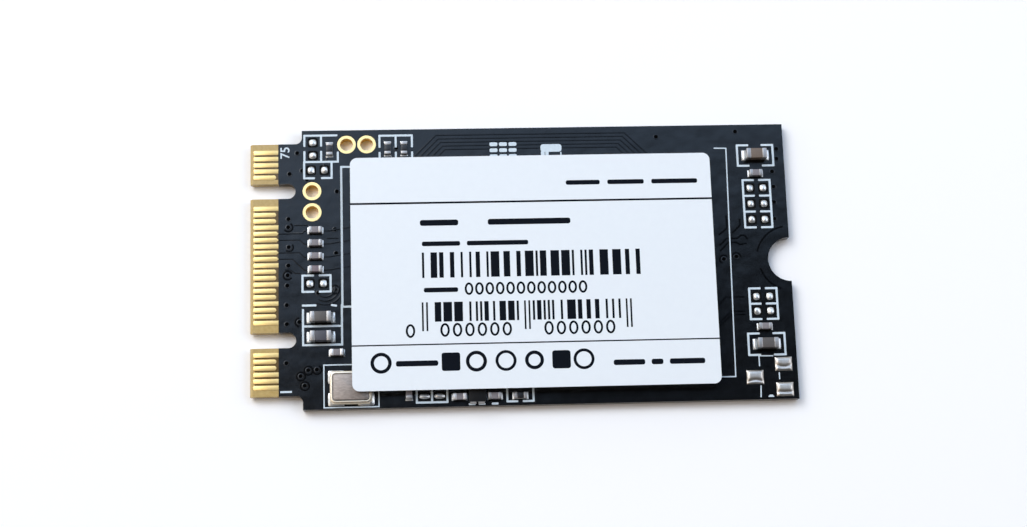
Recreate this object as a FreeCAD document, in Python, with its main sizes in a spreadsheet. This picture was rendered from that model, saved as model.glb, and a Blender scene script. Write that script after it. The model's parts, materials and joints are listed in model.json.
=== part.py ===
"""A short gumstick solid state drive: keyed circuit board, chips, label and small parts, in millimetres.

The board lies on its underside. X runs along it, from the contact edge to the screw notch, and Y across it.
"""
import FreeCAD, Part
import math
import os
import re
import Sketcher
from FreeCAD import Rotation, Vector

os.makedirs("parts", exist_ok=True)
doc = FreeCAD.newDocument("gumstick_drive")
sheet = doc.addObject("Spreadsheet::Sheet", "sizes")

SIZES = {
    # circuit board
    "board_length": (42.0, "from the contact edge to the screw edge"),
    "board_thick": (0.8, "laminate with its mask"),
    "shoulder_step": (1.075, "how far the tongue is set in on each side"),
    "tongue_length": (4.0, "from the contact edge to the shoulders"),
    "shoulder_round": (0.5, "inner round at each shoulder"),
    "tongue_margin": (0.5, "from the last contact to the tongue's side"),
    "key_width": (1.2, "key notch, across"),
    "key_depth": (3.5, "key notch, from the contact edge to its round end"),
    "edge_bevel": (0.2, "lead-in on the contact edge, above and below"),
    "screw_radius": (1.75, "half-round screw notch"),
    "mask_thick": (0.04, "how deep the mask is open down to the laminate"),
    # gold contacts
    "contact_pitch": (0.5, "between contacts on one face"),
    "contact_width": (0.35, "one contact, across"),
    "contact_thick": (0.035, "gold-plated copper"),
    "contact_setback": (0.26, "bare laminate in front of the contacts"),
    "contact_short": (2.0, "end of a short contact, from the contact edge"),
    "window_length": (2.17, "open mask strip, from the contact edge"),
    # plated holes
    "plated_bore": (0.5, "radius of the open hole"),
    "plating_wall": (0.03, "copper in the hole"),
    "ring_radius": (0.725, "ring on each face"),
    "ring_window": (0.05, "open mask around a ring"),
    "upper_ring_gap": (0.12, "between the rings of the upper pair"),
    "upper_ring_from_edge": (7.48, "first ring of the upper pair, from the contact edge"),
    "upper_ring_from_side": (1.17, "upper pair, from the upper side"),
    "side_ring_gap": (0.24, "between the rings of the pair behind the contacts"),
    "side_ring_from_edge": (4.77, "that pair, from the contact edge"),
    "side_ring_above": (6.11, "its upper ring, above the middle line"),
    # packages under the label
    "package_height": (0.95, "moulded body of both large chips"),
    "package_edge": (0.08, "chamfer around the top of a package"),
    "solder_gap": (0.05, "solder under a package"),
    "controller_side": (10.0, "square package"),
    "controller_from_edge": (12.9, "its middle, from the contact edge"),
    "controller_above": (2.46, "its middle, above the middle line"),
    "controller_pitch": (0.4, "between its joints"),
    "controller_joint_width": (0.22, "one joint, across"),
    "controller_joint_length": (0.5, "one joint, inwards"),
    "controller_corner": (0.8, "bare corner before the first joint"),
    "heat_pad": (6.0, "square joint in the middle"),
    "flash_length": (12.0, "along the board"),
    "flash_width": (17.0, "across the board"),
    "flash_from_screw": (12.3, "its middle, from the screw edge"),
    "flash_below": (0.45, "its middle, below the middle line"),
    "flash_column_pitch": (2.4, "between columns of joints"),
    "flash_row_pitch": (1.2, "between rows of joints"),
    "flash_joint": (0.7, "square joint"),
    "flash_margin": (1.3, "bare rim before the first joint"),
    # label
    "label_thick": (0.1, "paper with its glue"),
    "label_corner": (0.55, "corner round"),
    "label_from_contact": (7.77, "label's edge, from the contact edge"),
    "label_from_screw": (6.13, "label's edge, from the screw edge"),
    "label_from_upper": (2.58, "label's edge, from the upper side"),
    "label_from_lower": (1.17, "label's edge, from the lower side"),
    # crystal
    "crystal_length": (3.2, "ceramic base, along the board"),
    "crystal_width": (2.5, "ceramic base, across the board"),
    "crystal_base_height": (0.45, "ceramic base"),
    "castellation": (0.18, "quarter-round hollow at each corner of the base"),
    "lid_rim": (0.08, "base seen around the lid"),
    "lid_flange": (0.09, "thickness of the welded rim"),
    "lid_rise": (0.16, "raised middle of the lid"),
    "lid_shoulder": (0.16, "width of the welded rim"),
    "lid_slope": (0.07, "run of the raised middle's sloping side"),
    "crystal_from_edge": (7.65, "its middle, from the contact edge"),
    "crystal_from_lower": (1.6, "its middle, from the lower side"),
    "crystal_joint_width": (0.7, "solder at a corner, across"),
    "crystal_joint_run": (0.15, "solder at a corner, outwards"),
    "crystal_joint_height": (0.28, "solder at a corner"),
    # small two-ended chips
    "small_length": (1.0, "small chip"),
    "small_width": (0.5, "small chip"),
    "small_height": (0.5, "small capacitor"),
    "small_resistor_height": (0.35, "small resistor"),
    "small_terminal": (0.25, "plated end of a small chip"),
    "large_length": (1.6, "large chip"),
    "large_width": (0.8, "large chip"),
    "large_height": (0.8, "large capacitor"),
    "large_terminal": (0.35, "plated end of a large chip"),
    "terminal_lip": (0.012, "how far a plated end stands proud of the body"),
    "terminal_edge": (0.04, "chamfer on a plated end"),
    "small_solder": (0.12, "run of the solder at a small chip's end"),
    "large_solder": (0.3, "run of the solder at a large chip's end"),
    "solder_stop": (0.2, "how far below a chip's top its solder stops"),
    "solder_flare": (0.03, "how much the solder widens on its land"),
    "solder_toe": (0.03, "thickness of the solder at its outer end"),
    # places of the small chips
    "line_from_edge": (5.02, "column of line capacitors, from the contact edge"),
    "line_above": (2.94, "first line capacitor, above the middle line"),
    "line_gap": (0.53, "between line capacitors"),
    "pull_up_from_side": (1.57, "row of resistors, from the upper side"),
    "pull_up_from_edge": (6.15, "first resistor, from the contact edge"),
    "pull_up_pair_from_edge": (10.69, "resistor pair, from the contact edge"),
    "pull_up_gap": (0.78, "between the pair"),
    "supply_from_edge": (5.4, "left supply capacitors, from the contact edge"),
    "supply_below": (3.93, "upper one, below the middle line"),
    "supply_gap": (0.7, "between the left supply capacitors"),
    "clock_from_edge": (6.6, "capacitor above the crystal, from the contact edge"),
    "clock_from_lower": (4.32, "the same, from the lower side"),
    "right_supply_from_screw": (2.28, "right supply capacitors, from the screw edge"),
    "right_supply_from_upper": (2.55, "upper one, from the upper side"),
    "right_supply_from_lower": (4.3, "lower one, from the lower side"),
    "filter_from_screw": (2.36, "filter capacitors, from the screw edge"),
    "filter_from_upper": (4.05, "upper one, from the upper side"),
    "filter_from_lower": (5.66, "lower one, from the lower side"),
    # row along the lower side
    "regulator_from_edge": (17.21, "its middle, from the contact edge"),
    "regulator_from_lower": (0.3, "its lower face, from the lower side"),
    "regulator_length": (1.6, "across the board"),
    "regulator_width": (1.3, "along the board"),
    "regulator_height": (0.6, "moulded body"),
    "regulator_joint_width": (0.46, "solder at its foot"),
    "regulator_joint_run": (0.12, "solder at its foot, outwards"),
    "regulator_joint_height": (0.2, "solder at its foot"),
    "regulator_joint_inset": (0.1, "from the regulator's side to its first joint"),
    "row_from_lower": (0.72, "lying chips of the row, from the lower side"),
    "row_gap": (0.06, "between the regulator and the solder beside it"),
    "resistor_gap": (0.72, "between the row's resistor and its neighbour"),
    "upright_from_lower": (1.13, "middle of the upright chip, from the lower side"),
    "upright_gap": (0.66, "between the row's upright places"),
    "row_land_width": (0.86, "empty lands of the row, along the board"),
    "row_land_length": (0.44, "the same, across the board"),
    "row_land_from_lower": (0.83, "the outer ones, from the lower side"),
    # solder on empty lands
    "land_length": (0.56, "one land, in line with the pair"),
    "land_width": (0.6, "one land, across"),
    "land_spacing": (1.05, "between the two lands of a pair"),
    "land_height": (0.11, "solder on a land"),
    "land_slope": (0.1, "run of its sloping sides"),
    "corner_land_from_edge": (4.85, "upright pair, from the contact edge"),
    "corner_land_from_side": (1.5, "upright pair, from the upper side"),
    "second_land_from_edge": (5.23, "pair below it, from the contact edge"),
    "second_land_from_side": (3.215, "pair below it, from the upper side"),
    "third_land_from_edge": (5.08, "pair under the line capacitors, from the contact edge"),
    "third_land_below": (1.24, "the same, below the middle line"),
    "right_land_from_screw": (2.33, "right-hand pairs, from the screw edge"),
    "upper_land_from_side": (5.21, "upper three pairs, from the upper side"),
    "upper_land_gap": (0.68, "between the upper three pairs"),
    "lower_land_from_side": (6.91, "lower two pairs, from the lower side"),
    "lower_land_gap": (0.55, "between the lower two pairs"),
    "transistor_land_length": (1.32, "along the board"),
    "transistor_land_width": (1.08, "across the board"),
    "transistor_land_height": (0.14, "solder on it"),
    "transistor_from_screw": (1.07, "outer two lands, from the screw edge"),
    "transistor_from_lower": (1.74, "inner land, from the lower side"),
    "transistor_land_gap": (0.89, "between the outer two lands"),
    "transistor_inner_gap": (0.95, "from the outer lands to the inner one"),
}

for row, (name, (value, note)) in enumerate(SIZES.items(), start=1):
    sheet.set(f"A{row}", name)
    sheet.set(f"B{row}", str(value))
    sheet.set(f"C{row}", note)
    sheet.setAlias(f"B{row}", name)
doc.recompute()

SIZE_NAMES = re.compile(r"\b(" + "|".join(SIZES) + r")\b")

# Contact positions are numbered from the lower side, in half-pitch steps, odd above and even below.
FIRST_PIN = 1
LAST_PIN = 75
MIDDLE_PIN = (FIRST_PIN + LAST_PIN) // 2
UPPER_KEY_PINS = (59, 66)
LOWER_KEY_PINS = (12, 19)
FULL_PINS_ABOVE = (1, 3, 5, 11, 21, 27, 33, 39, 45, 51, 57, 69, 71, 73, 75)
FULL_PINS_BELOW = (2, 4, 10, 38, 70, 72, 74)

# Lines of the board that the other pieces are placed from.
TONGUE_WIDTH = f"({LAST_PIN - FIRST_PIN} * contact_pitch / 2 + contact_width + 2 * tongue_margin)"
BOARD_WIDTH = f"({TONGUE_WIDTH} + 2 * shoulder_step)"
CONTACT_EDGE = "(-board_length / 2)"
SCREW_EDGE = "(board_length / 2)"
UPPER_SIDE = f"({BOARD_WIDTH} / 2)"
LOWER_SIDE = f"(-{BOARD_WIDTH} / 2)"
PACKAGE_TOP = "(board_thick + solder_gap + package_height)"


def size(name):
    """A driving dimension, read back from the sheet."""
    return float(sheet.get(name))


def formula(text):
    """An expression on the sheet, from a text with plain size names."""
    return SIZE_NAMES.sub(r"sizes.\1", text)


def bind(thing, **properties):
    """Tie properties of an object to formulas."""
    for name, text in properties.items():
        thing.setExpression(name, formula(text))


def place(thing, x, y, z):
    """Tie an object's place to formulas."""
    for axis, text in zip("xyz", (x, y, z)):
        thing.setExpression(f"Placement.Base.{axis}", formula(text))


def block(name, length, width, height, x, y, z):
    """A box centred on x and y that stands on z."""
    made = doc.addObject("Part::Box", name)
    bind(made, Length=length, Width=width, Height=height)
    place(made, f"{x} - ({length}) / 2", f"{y} - ({width}) / 2", z)
    return made


def round_bar(name, radius, height, x, y, z):
    """An upright cylinder that stands on z."""
    made = doc.addObject("Part::Cylinder", name)
    bind(made, Radius=radius, Height=height)
    place(made, x, y, z)
    return made


def frustum(name, length, width, height, slope, x, y, z):
    """A block whose four sides lean in by a slope, as solder does on a land."""
    made = doc.addObject("Part::Wedge", name)
    bind(made, Xmin=f"-({length}) / 2", Xmax=f"({length}) / 2", Zmin=f"-({width}) / 2", Zmax=f"({width}) / 2")
    bind(made, X2min=f"{slope} - ({length}) / 2", X2max=f"({length}) / 2 - {slope}")
    bind(made, Z2min=f"{slope} - ({width}) / 2", Z2max=f"({width}) / 2 - {slope}")
    bind(made, Ymin="0", Ymax=height)
    made.Placement.Rotation = Rotation(Vector(1, 0, 0), 90)
    place(made, x, y, z)
    return made


def solder_ramp(name, width, run, height, turn, x, y, z):
    """Solder that climbs a chip's end: tall at the end face and thin where the land stops."""
    made = doc.addObject("Part::Wedge", name)
    bind(made, Xmin=f"-({width}) / 2", Xmax=f"({width}) / 2", Zmin="0", Zmax=height)
    bind(made, X2min=f"-({width}) / 2 - solder_flare", X2max=f"({width}) / 2 + solder_flare")
    bind(made, Z2min="0", Z2max="solder_toe", Ymin="0", Ymax=run)
    made.Placement.Rotation = Rotation(Vector(0, 0, 1), turn)
    place(made, x, y, z)
    return made


def group(name, members):
    """Separate solids that share one node."""
    made = doc.addObject("Part::Compound", name)
    made.Links = members
    return made


def bevelled(name, base, edge_size, chosen=None):
    """A solid with the edges that a test picks, or all of them, chamfered."""
    doc.recompute()
    edges = enumerate(base.Shape.Edges, start=1)
    picked = [number for number, edge in edges if chosen is None or chosen(edge)]
    made = doc.addObject("Part::Chamfer", name)
    made.Base = base
    made.Edges = [(number, size(edge_size), size(edge_size)) for number in picked]
    return made


def origin_plane(body, role):
    """One of a body's own origin planes."""
    return next(plane for plane in body.Origin.OriginFeatures if plane.Role == role)


def sketch_on(body, name, height="0"):
    """A sketch parallel to the board, at a height above its underside."""
    sketch = body.newObject("Sketcher::SketchObject", name)
    sketch.AttachmentSupport = [(origin_plane(body, "XY_Plane"), "")]
    sketch.MapMode = "FlatFace"
    sketch.setExpression("AttachmentOffset.Base.z", formula(height))
    return sketch


def fix_point(sketch, edge, end, guess, formulas):
    """Hold one point of a sketch line at a place given by two formulas."""
    for kind, start, rule in zip(("DistanceX", "DistanceY"), guess, formulas):
        number = sketch.addConstraint(Sketcher.Constraint(kind, -1, 1, edge, end, start))
        sketch.setExpression(f"Constraints[{number}]", formula(rule))


def draw_rectangle(sketch, low, high):
    """A closed rectangle between two corners given by formulas."""
    guess = [Vector(0, 0, 0), Vector(1, 0, 0), Vector(1, 1, 0), Vector(0, 1, 0)]
    first = sketch.GeometryCount
    for start, end in zip(guess, guess[1:] + guess[:1]):
        sketch.addGeometry(Part.LineSegment(start, end), False)
    for step in range(4):
        sketch.addConstraint(Sketcher.Constraint("Coincident", first + step, 2, first + (step + 1) % 4, 1))
        sketch.addConstraint(Sketcher.Constraint(("Horizontal", "Vertical")[step % 2], first + step))
    fix_point(sketch, first, 1, guess[0][:2], low)
    fix_point(sketch, first + 2, 1, guess[2][:2], high)


def draw_circle(sketch, radius, x, y):
    """A circle with its radius and middle given by formulas."""
    ring = sketch.addGeometry(Part.Circle(Vector(0, 0, 0), Vector(0, 0, 1), 1.0), False)
    number = sketch.addConstraint(Sketcher.Constraint("Radius", ring, 1.0))
    sketch.setExpression(f"Constraints[{number}]", formula(radius))
    fix_point(sketch, ring, 3, (0.0, 0.0), (x, y))


def draw_key(sketch, pins):
    """A notch with a full-round end, open past the contact edge, over the positions that it takes."""
    radius = size("key_width") / 2
    mouth_x = -size("board_length") / 2 - size("key_width")
    end_x = size("key_depth") - size("board_length") / 2 - radius
    middle_y = (sum(pins) / 2 - MIDDLE_PIN) * size("contact_pitch") / 2
    ring = Part.Circle(Vector(end_x, middle_y, 0), Vector(0, 0, 1), radius)
    low = [Vector(x, middle_y - radius, 0) for x in (mouth_x, end_x)]
    high = [Vector(x, middle_y + radius, 0) for x in (end_x, mouth_x)]
    lower = sketch.addGeometry(Part.LineSegment(*low), False)
    arc = sketch.addGeometry(Part.ArcOfCircle(ring, -math.pi / 2, math.pi / 2), False)
    upper = sketch.addGeometry(Part.LineSegment(*high), False)
    mouth = sketch.addGeometry(Part.LineSegment(high[1], low[0]), False)
    sketch.addConstraint(Sketcher.Constraint("Tangent", lower, 2, arc, 1))
    sketch.addConstraint(Sketcher.Constraint("Tangent", arc, 2, upper, 1))
    sketch.addConstraint(Sketcher.Constraint("Coincident", upper, 2, mouth, 1))
    sketch.addConstraint(Sketcher.Constraint("Coincident", mouth, 2, lower, 1))
    sketch.addConstraint(Sketcher.Constraint("Horizontal", lower))
    sketch.addConstraint(Sketcher.Constraint("Vertical", mouth))
    number = sketch.addConstraint(Sketcher.Constraint("Radius", arc, radius))
    sketch.setExpression(f"Constraints[{number}]", formula("key_width / 2"))
    number = sketch.addConstraint(Sketcher.Constraint("DistanceX", -1, 1, lower, 1, mouth_x))
    sketch.setExpression(f"Constraints[{number}]", formula(f"{CONTACT_EDGE} - key_width"))
    key_y = f"{sum(pins) / 2 - MIDDLE_PIN} * contact_pitch / 2"
    fix_point(sketch, arc, 3, (end_x, middle_y), (f"{CONTACT_EDGE} + key_depth - key_width / 2", key_y))


def pad(body, sketch, height):
    """Raise a sketch into a solid."""
    made = body.newObject("PartDesign::Pad", sketch.Name + "_pad")
    made.Profile = sketch
    bind(made, Length=height)
    doc.recompute()
    return made


def pocket(body, sketch, depth=None, upwards=False):
    """Cut a sketch out of the solid, to a depth or right through, and make sure that something was cut."""
    before = body.Shape.Volume
    made = body.newObject("PartDesign::Pocket", sketch.Name + "_cut")
    made.Profile = sketch
    made.Reversed = upwards
    if depth is None:
        made.Type = "ThroughAll"
    else:
        bind(made, Length=depth)
    doc.recompute()
    removed = before - body.Shape.Volume
    print(f"{made.Name}: {removed:.4f} mm3 removed")
    if removed <= 0:
        raise RuntimeError(f"{made.Name} cut nothing")
    return made


def pin_y(pin):
    """Where a contact position lies across the board."""
    return f"({pin - MIDDLE_PIN} * contact_pitch / 2)"


# Middles of the four plated holes.
RING_SPACING = {"upper": "(2 * ring_radius + upper_ring_gap)", "side": "(2 * ring_radius + side_ring_gap)"}
UPPER_RING_Y = f"({UPPER_SIDE} - upper_ring_from_side)"
SIDE_RING_X = f"({CONTACT_EDGE} + side_ring_from_edge)"
HOLES = [
    (f"({CONTACT_EDGE} + upper_ring_from_edge)", UPPER_RING_Y),
    (f"({CONTACT_EDGE} + upper_ring_from_edge + {RING_SPACING['upper']})", UPPER_RING_Y),
    (SIDE_RING_X, "side_ring_above"),
    (SIDE_RING_X, f"(side_ring_above - {RING_SPACING['side']})"),
]


def make_board():
    """The keyed board: outline, shoulders, key notches, screw notch, holes, open mask and bevelled edge."""
    body = doc.addObject("PartDesign::Body", "circuit_board")

    outline = sketch_on(body, "board_outline")
    draw_rectangle(outline, (CONTACT_EDGE, LOWER_SIDE), (SCREW_EDGE, UPPER_SIDE))
    pad(body, outline, "board_thick")

    shoulders = sketch_on(body, "shoulders")
    shoulder_x = f"{CONTACT_EDGE} + tongue_length"
    outside_x = f"{CONTACT_EDGE} - tongue_margin"
    outside_y = f"({UPPER_SIDE} + tongue_margin)"
    draw_rectangle(shoulders, (outside_x, f"{TONGUE_WIDTH} / 2"), (shoulder_x, outside_y))
    draw_rectangle(shoulders, (outside_x, f"-{outside_y}"), (shoulder_x, f"-{TONGUE_WIDTH} / 2"))
    pocket(body, shoulders, upwards=True)

    inner_x = size("tongue_length") - size("board_length") / 2
    upright = [
        f"Edge{number}" for number, edge in enumerate(body.Shape.Edges, start=1)
        if abs(edge.tangentAt(edge.FirstParameter).z) > 0.99 and abs(edge.CenterOfMass.x - inner_x) < 1e-6
        and abs(edge.CenterOfMass.y) < body.Shape.BoundBox.YMax - size("shoulder_step") / 2
    ]
    cut_board = body.Tip
    rounds = body.newObject("PartDesign::Fillet", "shoulder_rounds")
    rounds.Base = (cut_board, upright)
    bind(rounds, Radius="shoulder_round")
    doc.recompute()

    keys = sketch_on(body, "key_notches")
    draw_key(keys, UPPER_KEY_PINS)
    draw_key(keys, LOWER_KEY_PINS)
    pocket(body, keys, upwards=True)

    notch = sketch_on(body, "screw_notch")
    draw_circle(notch, "screw_radius", SCREW_EDGE, "0")
    pocket(body, notch, upwards=True)

    bores = sketch_on(body, "plated_bores")
    for x, y in HOLES:
        draw_circle(bores, "plated_bore + plating_wall", x, y)
    pocket(body, bores, upwards=True)

    for face, height in (("lower", "0"), ("upper", "board_thick")):
        rings = sketch_on(body, f"{face}_ring_windows", height)
        for x, y in HOLES:
            draw_circle(rings, "ring_radius + ring_window", x, y)
        pocket(body, rings, "mask_thick", upwards=face == "lower")
        window = sketch_on(body, f"{face}_contact_window", height)
        draw_rectangle(window, (outside_x, f"-{outside_y}"), (f"{CONTACT_EDGE} + window_length", outside_y))
        pocket(body, window, "mask_thick", upwards=face == "lower")

    front = [
        f"Edge{number}" for number, edge in enumerate(body.Shape.Edges, start=1)
        if abs(edge.BoundBox.XMax + size("board_length") / 2) < 1e-6 and edge.BoundBox.ZLength < 1e-6
    ]
    open_board = body.Tip
    bevel = body.newObject("PartDesign::Chamfer", "contact_edge_bevel")
    bevel.Base = (open_board, front)
    bind(bevel, Size="edge_bevel")
    doc.recompute()
    return body


def make_contacts(name, pins, full_pins, bottom):
    """One face's gold contacts: long ones run to the mask, short ones end in a round."""
    pads = []
    for pin in pins:
        end = "window_length" if pin in full_pins else "(contact_short - contact_width / 2)"
        run = f"({end} - contact_setback)"
        middle = f"({CONTACT_EDGE} + contact_setback + {run} / 2)"
        bar = block(f"contact_{pin}", run, "contact_width", "contact_thick", middle, pin_y(pin), bottom)
        if pin not in full_pins:
            tip = round_bar(
                f"contact_tip_{pin}", "contact_width / 2", "contact_thick",
                f"({CONTACT_EDGE} + {end})", pin_y(pin), bottom)
            joined = doc.addObject("Part::Fuse", f"short_contact_{pin}")
            joined.Base = bar
            joined.Tool = tip
            joined.Refine = True
            bar = joined
        pads.append(bar)
    return group(name, pads)


def make_plated_holes():
    """Copper barrels with a ring on each face, seated in the board's holes and mask windows."""
    barrels = []
    under = "(mask_thick - contact_thick)"
    upper_floor = "(board_thick - mask_thick)"
    whole = f"(board_thick - 2 * {under})"
    for number, (x, y) in enumerate(HOLES, start=1):
        wall = round_bar(f"barrel_{number}", "plated_bore + plating_wall", whole, x, y, under)
        lower = round_bar(f"lower_ring_{number}", "ring_radius", "contact_thick", x, y, under)
        upper = round_bar(f"upper_ring_{number}", "ring_radius", "contact_thick", x, y, upper_floor)
        spool = doc.addObject("Part::MultiFuse", f"spool_{number}")
        spool.Shapes = [wall, lower, upper]
        spool.Refine = True
        barrel = doc.addObject("Part::Cut", f"plated_hole_{number}")
        barrel.Base = spool
        barrel.Tool = round_bar(f"open_bore_{number}", "plated_bore", "board_thick", x, y, "0")
        barrels.append(barrel)
    return group("plated_holes", barrels)


def make_package(name, length, width, x, y):
    """A moulded package with a chamfered top, standing on its solder."""
    plain = block(f"{name}_block", length, width, "package_height", x, y, "board_thick + solder_gap")
    doc.recompute()
    top = plain.Shape.BoundBox.ZMax
    return bevelled(name, plain, "package_edge", lambda edge: edge.BoundBox.ZMin > top - 1e-6)


CONTROLLER_X = f"({CONTACT_EDGE} + controller_from_edge)"
CONTROLLER_Y = "controller_above"
FLASH_X = f"({SCREW_EDGE} - flash_from_screw)"
FLASH_Y = "(-flash_below)"


def how_many(span, pitch):
    """How many joints fit on a span, with one at each end of it."""
    return int(span / pitch + 1e-6) + 1


def make_controller_joints():
    """Joints along the four sides of the controller and a heat pad in the middle."""
    count = how_many(size("controller_side") - 2 * size("controller_corner"), size("controller_pitch"))
    inwards = "((controller_side - controller_joint_length) / 2)"
    across = ("controller_joint_width", "controller_joint_length")
    joints = [
        block("heat_joint", "heat_pad", "heat_pad", "solder_gap", CONTROLLER_X, CONTROLLER_Y, "board_thick"),
    ]
    for number in range(count):
        along = f"({number - (count - 1) / 2} * controller_pitch)"
        for sign in ("+", "-"):
            side = "upper" if sign == "+" else "lower"
            joints.append(block(
                f"controller_{side}_joint_{number}", across[0], across[1], "solder_gap",
                f"({CONTROLLER_X} + {along})", f"({CONTROLLER_Y} {sign} {inwards})", "board_thick"))
            side = "right" if sign == "+" else "left"
            joints.append(block(
                f"controller_{side}_joint_{number}", across[1], across[0], "solder_gap",
                f"({CONTROLLER_X} {sign} {inwards})", f"({CONTROLLER_Y} + {along})", "board_thick"))
    return group("controller_solder_joints", joints)


def make_flash_joints():
    """A grid of square joints under the flash memory."""
    columns = how_many(size("flash_length") - 2 * size("flash_margin"), size("flash_column_pitch"))
    rows = how_many(size("flash_width") - 2 * size("flash_margin"), size("flash_row_pitch"))
    joints = []
    for column in range(columns):
        x = f"({FLASH_X} + {column - (columns - 1) / 2} * flash_column_pitch)"
        for row in range(rows):
            y = f"({FLASH_Y} + {row - (rows - 1) / 2} * flash_row_pitch)"
            name = f"flash_joint_{column}_{row}"
            joints.append(block(name, "flash_joint", "flash_joint", "solder_gap", x, y, "board_thick"))
    return group("flash_solder_joints", joints)


def make_label():
    """A paper sheet with round corners that lies on both packages."""
    body = doc.addObject("PartDesign::Body", "label")
    outline = sketch_on(body, "label_outline", PACKAGE_TOP)
    low = (f"{CONTACT_EDGE} + label_from_contact", f"{LOWER_SIDE} + label_from_lower")
    high = (f"{SCREW_EDGE} - label_from_screw", f"{UPPER_SIDE} - label_from_upper")
    draw_rectangle(outline, low, high)
    sheet_pad = pad(body, outline, "label_thick")
    upright = [
        f"Edge{number}" for number, edge in enumerate(sheet_pad.Shape.Edges, start=1)
        if edge.BoundBox.ZLength > size("label_thick") / 2
    ]
    rounds = body.newObject("PartDesign::Fillet", "label_corners")
    rounds.Base = (sheet_pad, upright)
    bind(rounds, Radius="label_corner")
    return body


CRYSTAL_X = f"({CONTACT_EDGE} + crystal_from_edge)"
CRYSTAL_Y = f"({LOWER_SIDE} + crystal_from_lower)"
LID_LENGTH = "(crystal_length - 2 * lid_rim)"
LID_WIDTH = "(crystal_width - 2 * lid_rim)"
CRYSTAL_TOP = "(board_thick + crystal_base_height)"


def make_crystal_base():
    """Ceramic base with a quarter-round hollow at each corner."""
    whole = block(
        "crystal_block", "crystal_length", "crystal_width", "crystal_base_height",
        CRYSTAL_X, CRYSTAL_Y, "board_thick")
    hollows = doc.addObject("Part::MultiFuse", "crystal_hollows")
    hollows.Shapes = [
        round_bar(
            f"crystal_hollow_{number}", "castellation", "crystal_base_height",
            f"({CRYSTAL_X} {along} crystal_length / 2)", f"({CRYSTAL_Y} {across} crystal_width / 2)",
            "board_thick")
        for number, (along, across) in enumerate((("-", "-"), ("-", "+"), ("+", "-"), ("+", "+")))
    ]
    base = doc.addObject("Part::Cut", "crystal_base")
    base.Base = whole
    base.Tool = hollows
    return base


def make_crystal_lid():
    """Welded lid: a thin rim and a raised middle with sloping sides."""
    rim = block("lid_rim_plate", LID_LENGTH, LID_WIDTH, "lid_flange", CRYSTAL_X, CRYSTAL_Y, CRYSTAL_TOP)
    middle = frustum(
        "lid_middle", f"({LID_LENGTH} - 2 * lid_shoulder)", f"({LID_WIDTH} - 2 * lid_shoulder)", "lid_rise",
        "lid_slope", CRYSTAL_X, CRYSTAL_Y, f"({CRYSTAL_TOP} + lid_flange)")
    lid = doc.addObject("Part::Fuse", "crystal_lid")
    lid.Base = rim
    lid.Tool = middle
    return lid


def make_crystal_joints():
    """Solder at the crystal's four corners, on its short sides."""
    joints = []
    for side, turn in (("-", 90), ("+", -90)):
        for across in ("-", "+"):
            joints.append(solder_ramp(
                f"crystal_joint_{len(joints) + 1}", "crystal_joint_width", "crystal_joint_run",
                "crystal_joint_height", turn, f"({CRYSTAL_X} {side} crystal_length / 2)",
                f"({CRYSTAL_Y} {across} (crystal_width / 2 - castellation - crystal_joint_width / 2))",
                "board_thick"))
    return group("crystal_solder_joints", joints)


REGULATOR_X = f"({CONTACT_EDGE} + regulator_from_edge)"
REGULATOR_Y = f"({LOWER_SIDE} + regulator_from_lower + regulator_length / 2)"


def make_regulator():
    """Small moulded regulator with chamfered top edges."""
    plain = block(
        "regulator_block", "regulator_width", "regulator_length", "regulator_height",
        REGULATOR_X, REGULATOR_Y, "board_thick")
    doc.recompute()
    top = plain.Shape.BoundBox.ZMax
    return bevelled("regulator_chip", plain, "terminal_edge", lambda edge: edge.BoundBox.ZMin > top - 1e-6)


def make_regulator_joints():
    """Two solder joints at each end of the regulator."""
    joints = []
    aside = "(regulator_width / 2 - regulator_joint_inset - regulator_joint_width / 2)"
    for end, turn in (("-", 180), ("+", 0)):
        for side in ("-", "+"):
            joints.append(solder_ramp(
                f"regulator_joint_{len(joints) + 1}", "regulator_joint_width", "regulator_joint_run",
                "regulator_joint_height", turn, f"({REGULATOR_X} {side} {aside})",
                f"({REGULATOR_Y} {end} regulator_length / 2)", "board_thick"))
    return group("regulator_solder_joints", joints)


# Places of the row along the lower side, worked outwards from the regulator.
SMALL_REACH = "(small_length / 2 + small_solder)"
ROW_Y = f"({LOWER_SIDE} + row_from_lower)"
ROW_LEFT_X = f"({REGULATOR_X} - regulator_width / 2 - row_gap - {SMALL_REACH})"
ROW_RIGHT_X = f"({REGULATOR_X} + regulator_width / 2 + row_gap + {SMALL_REACH})"
ROW_RESISTOR_X = f"({ROW_RIGHT_X} + 2 * {SMALL_REACH} + resistor_gap)"
UPRIGHT_Y = f"({LOWER_SIDE} + upright_from_lower)"
UPRIGHT_X = f"({ROW_LEFT_X} - {SMALL_REACH} - upright_gap - small_width / 2)"
UPRIGHT_STEP = "(small_width + upright_gap)"

LINE_X = f"({CONTACT_EDGE} + line_from_edge)"
PULL_UP_Y = f"({UPPER_SIDE} - pull_up_from_side)"
PULL_UP_PAIR_X = f"({CONTACT_EDGE} + pull_up_pair_from_edge)"
SUPPLY_X = f"({CONTACT_EDGE} + supply_from_edge)"
RIGHT_SUPPLY_X = f"({SCREW_EDGE} - right_supply_from_screw)"
FILTER_X = f"({SCREW_EDGE} - filter_from_screw)"

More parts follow.
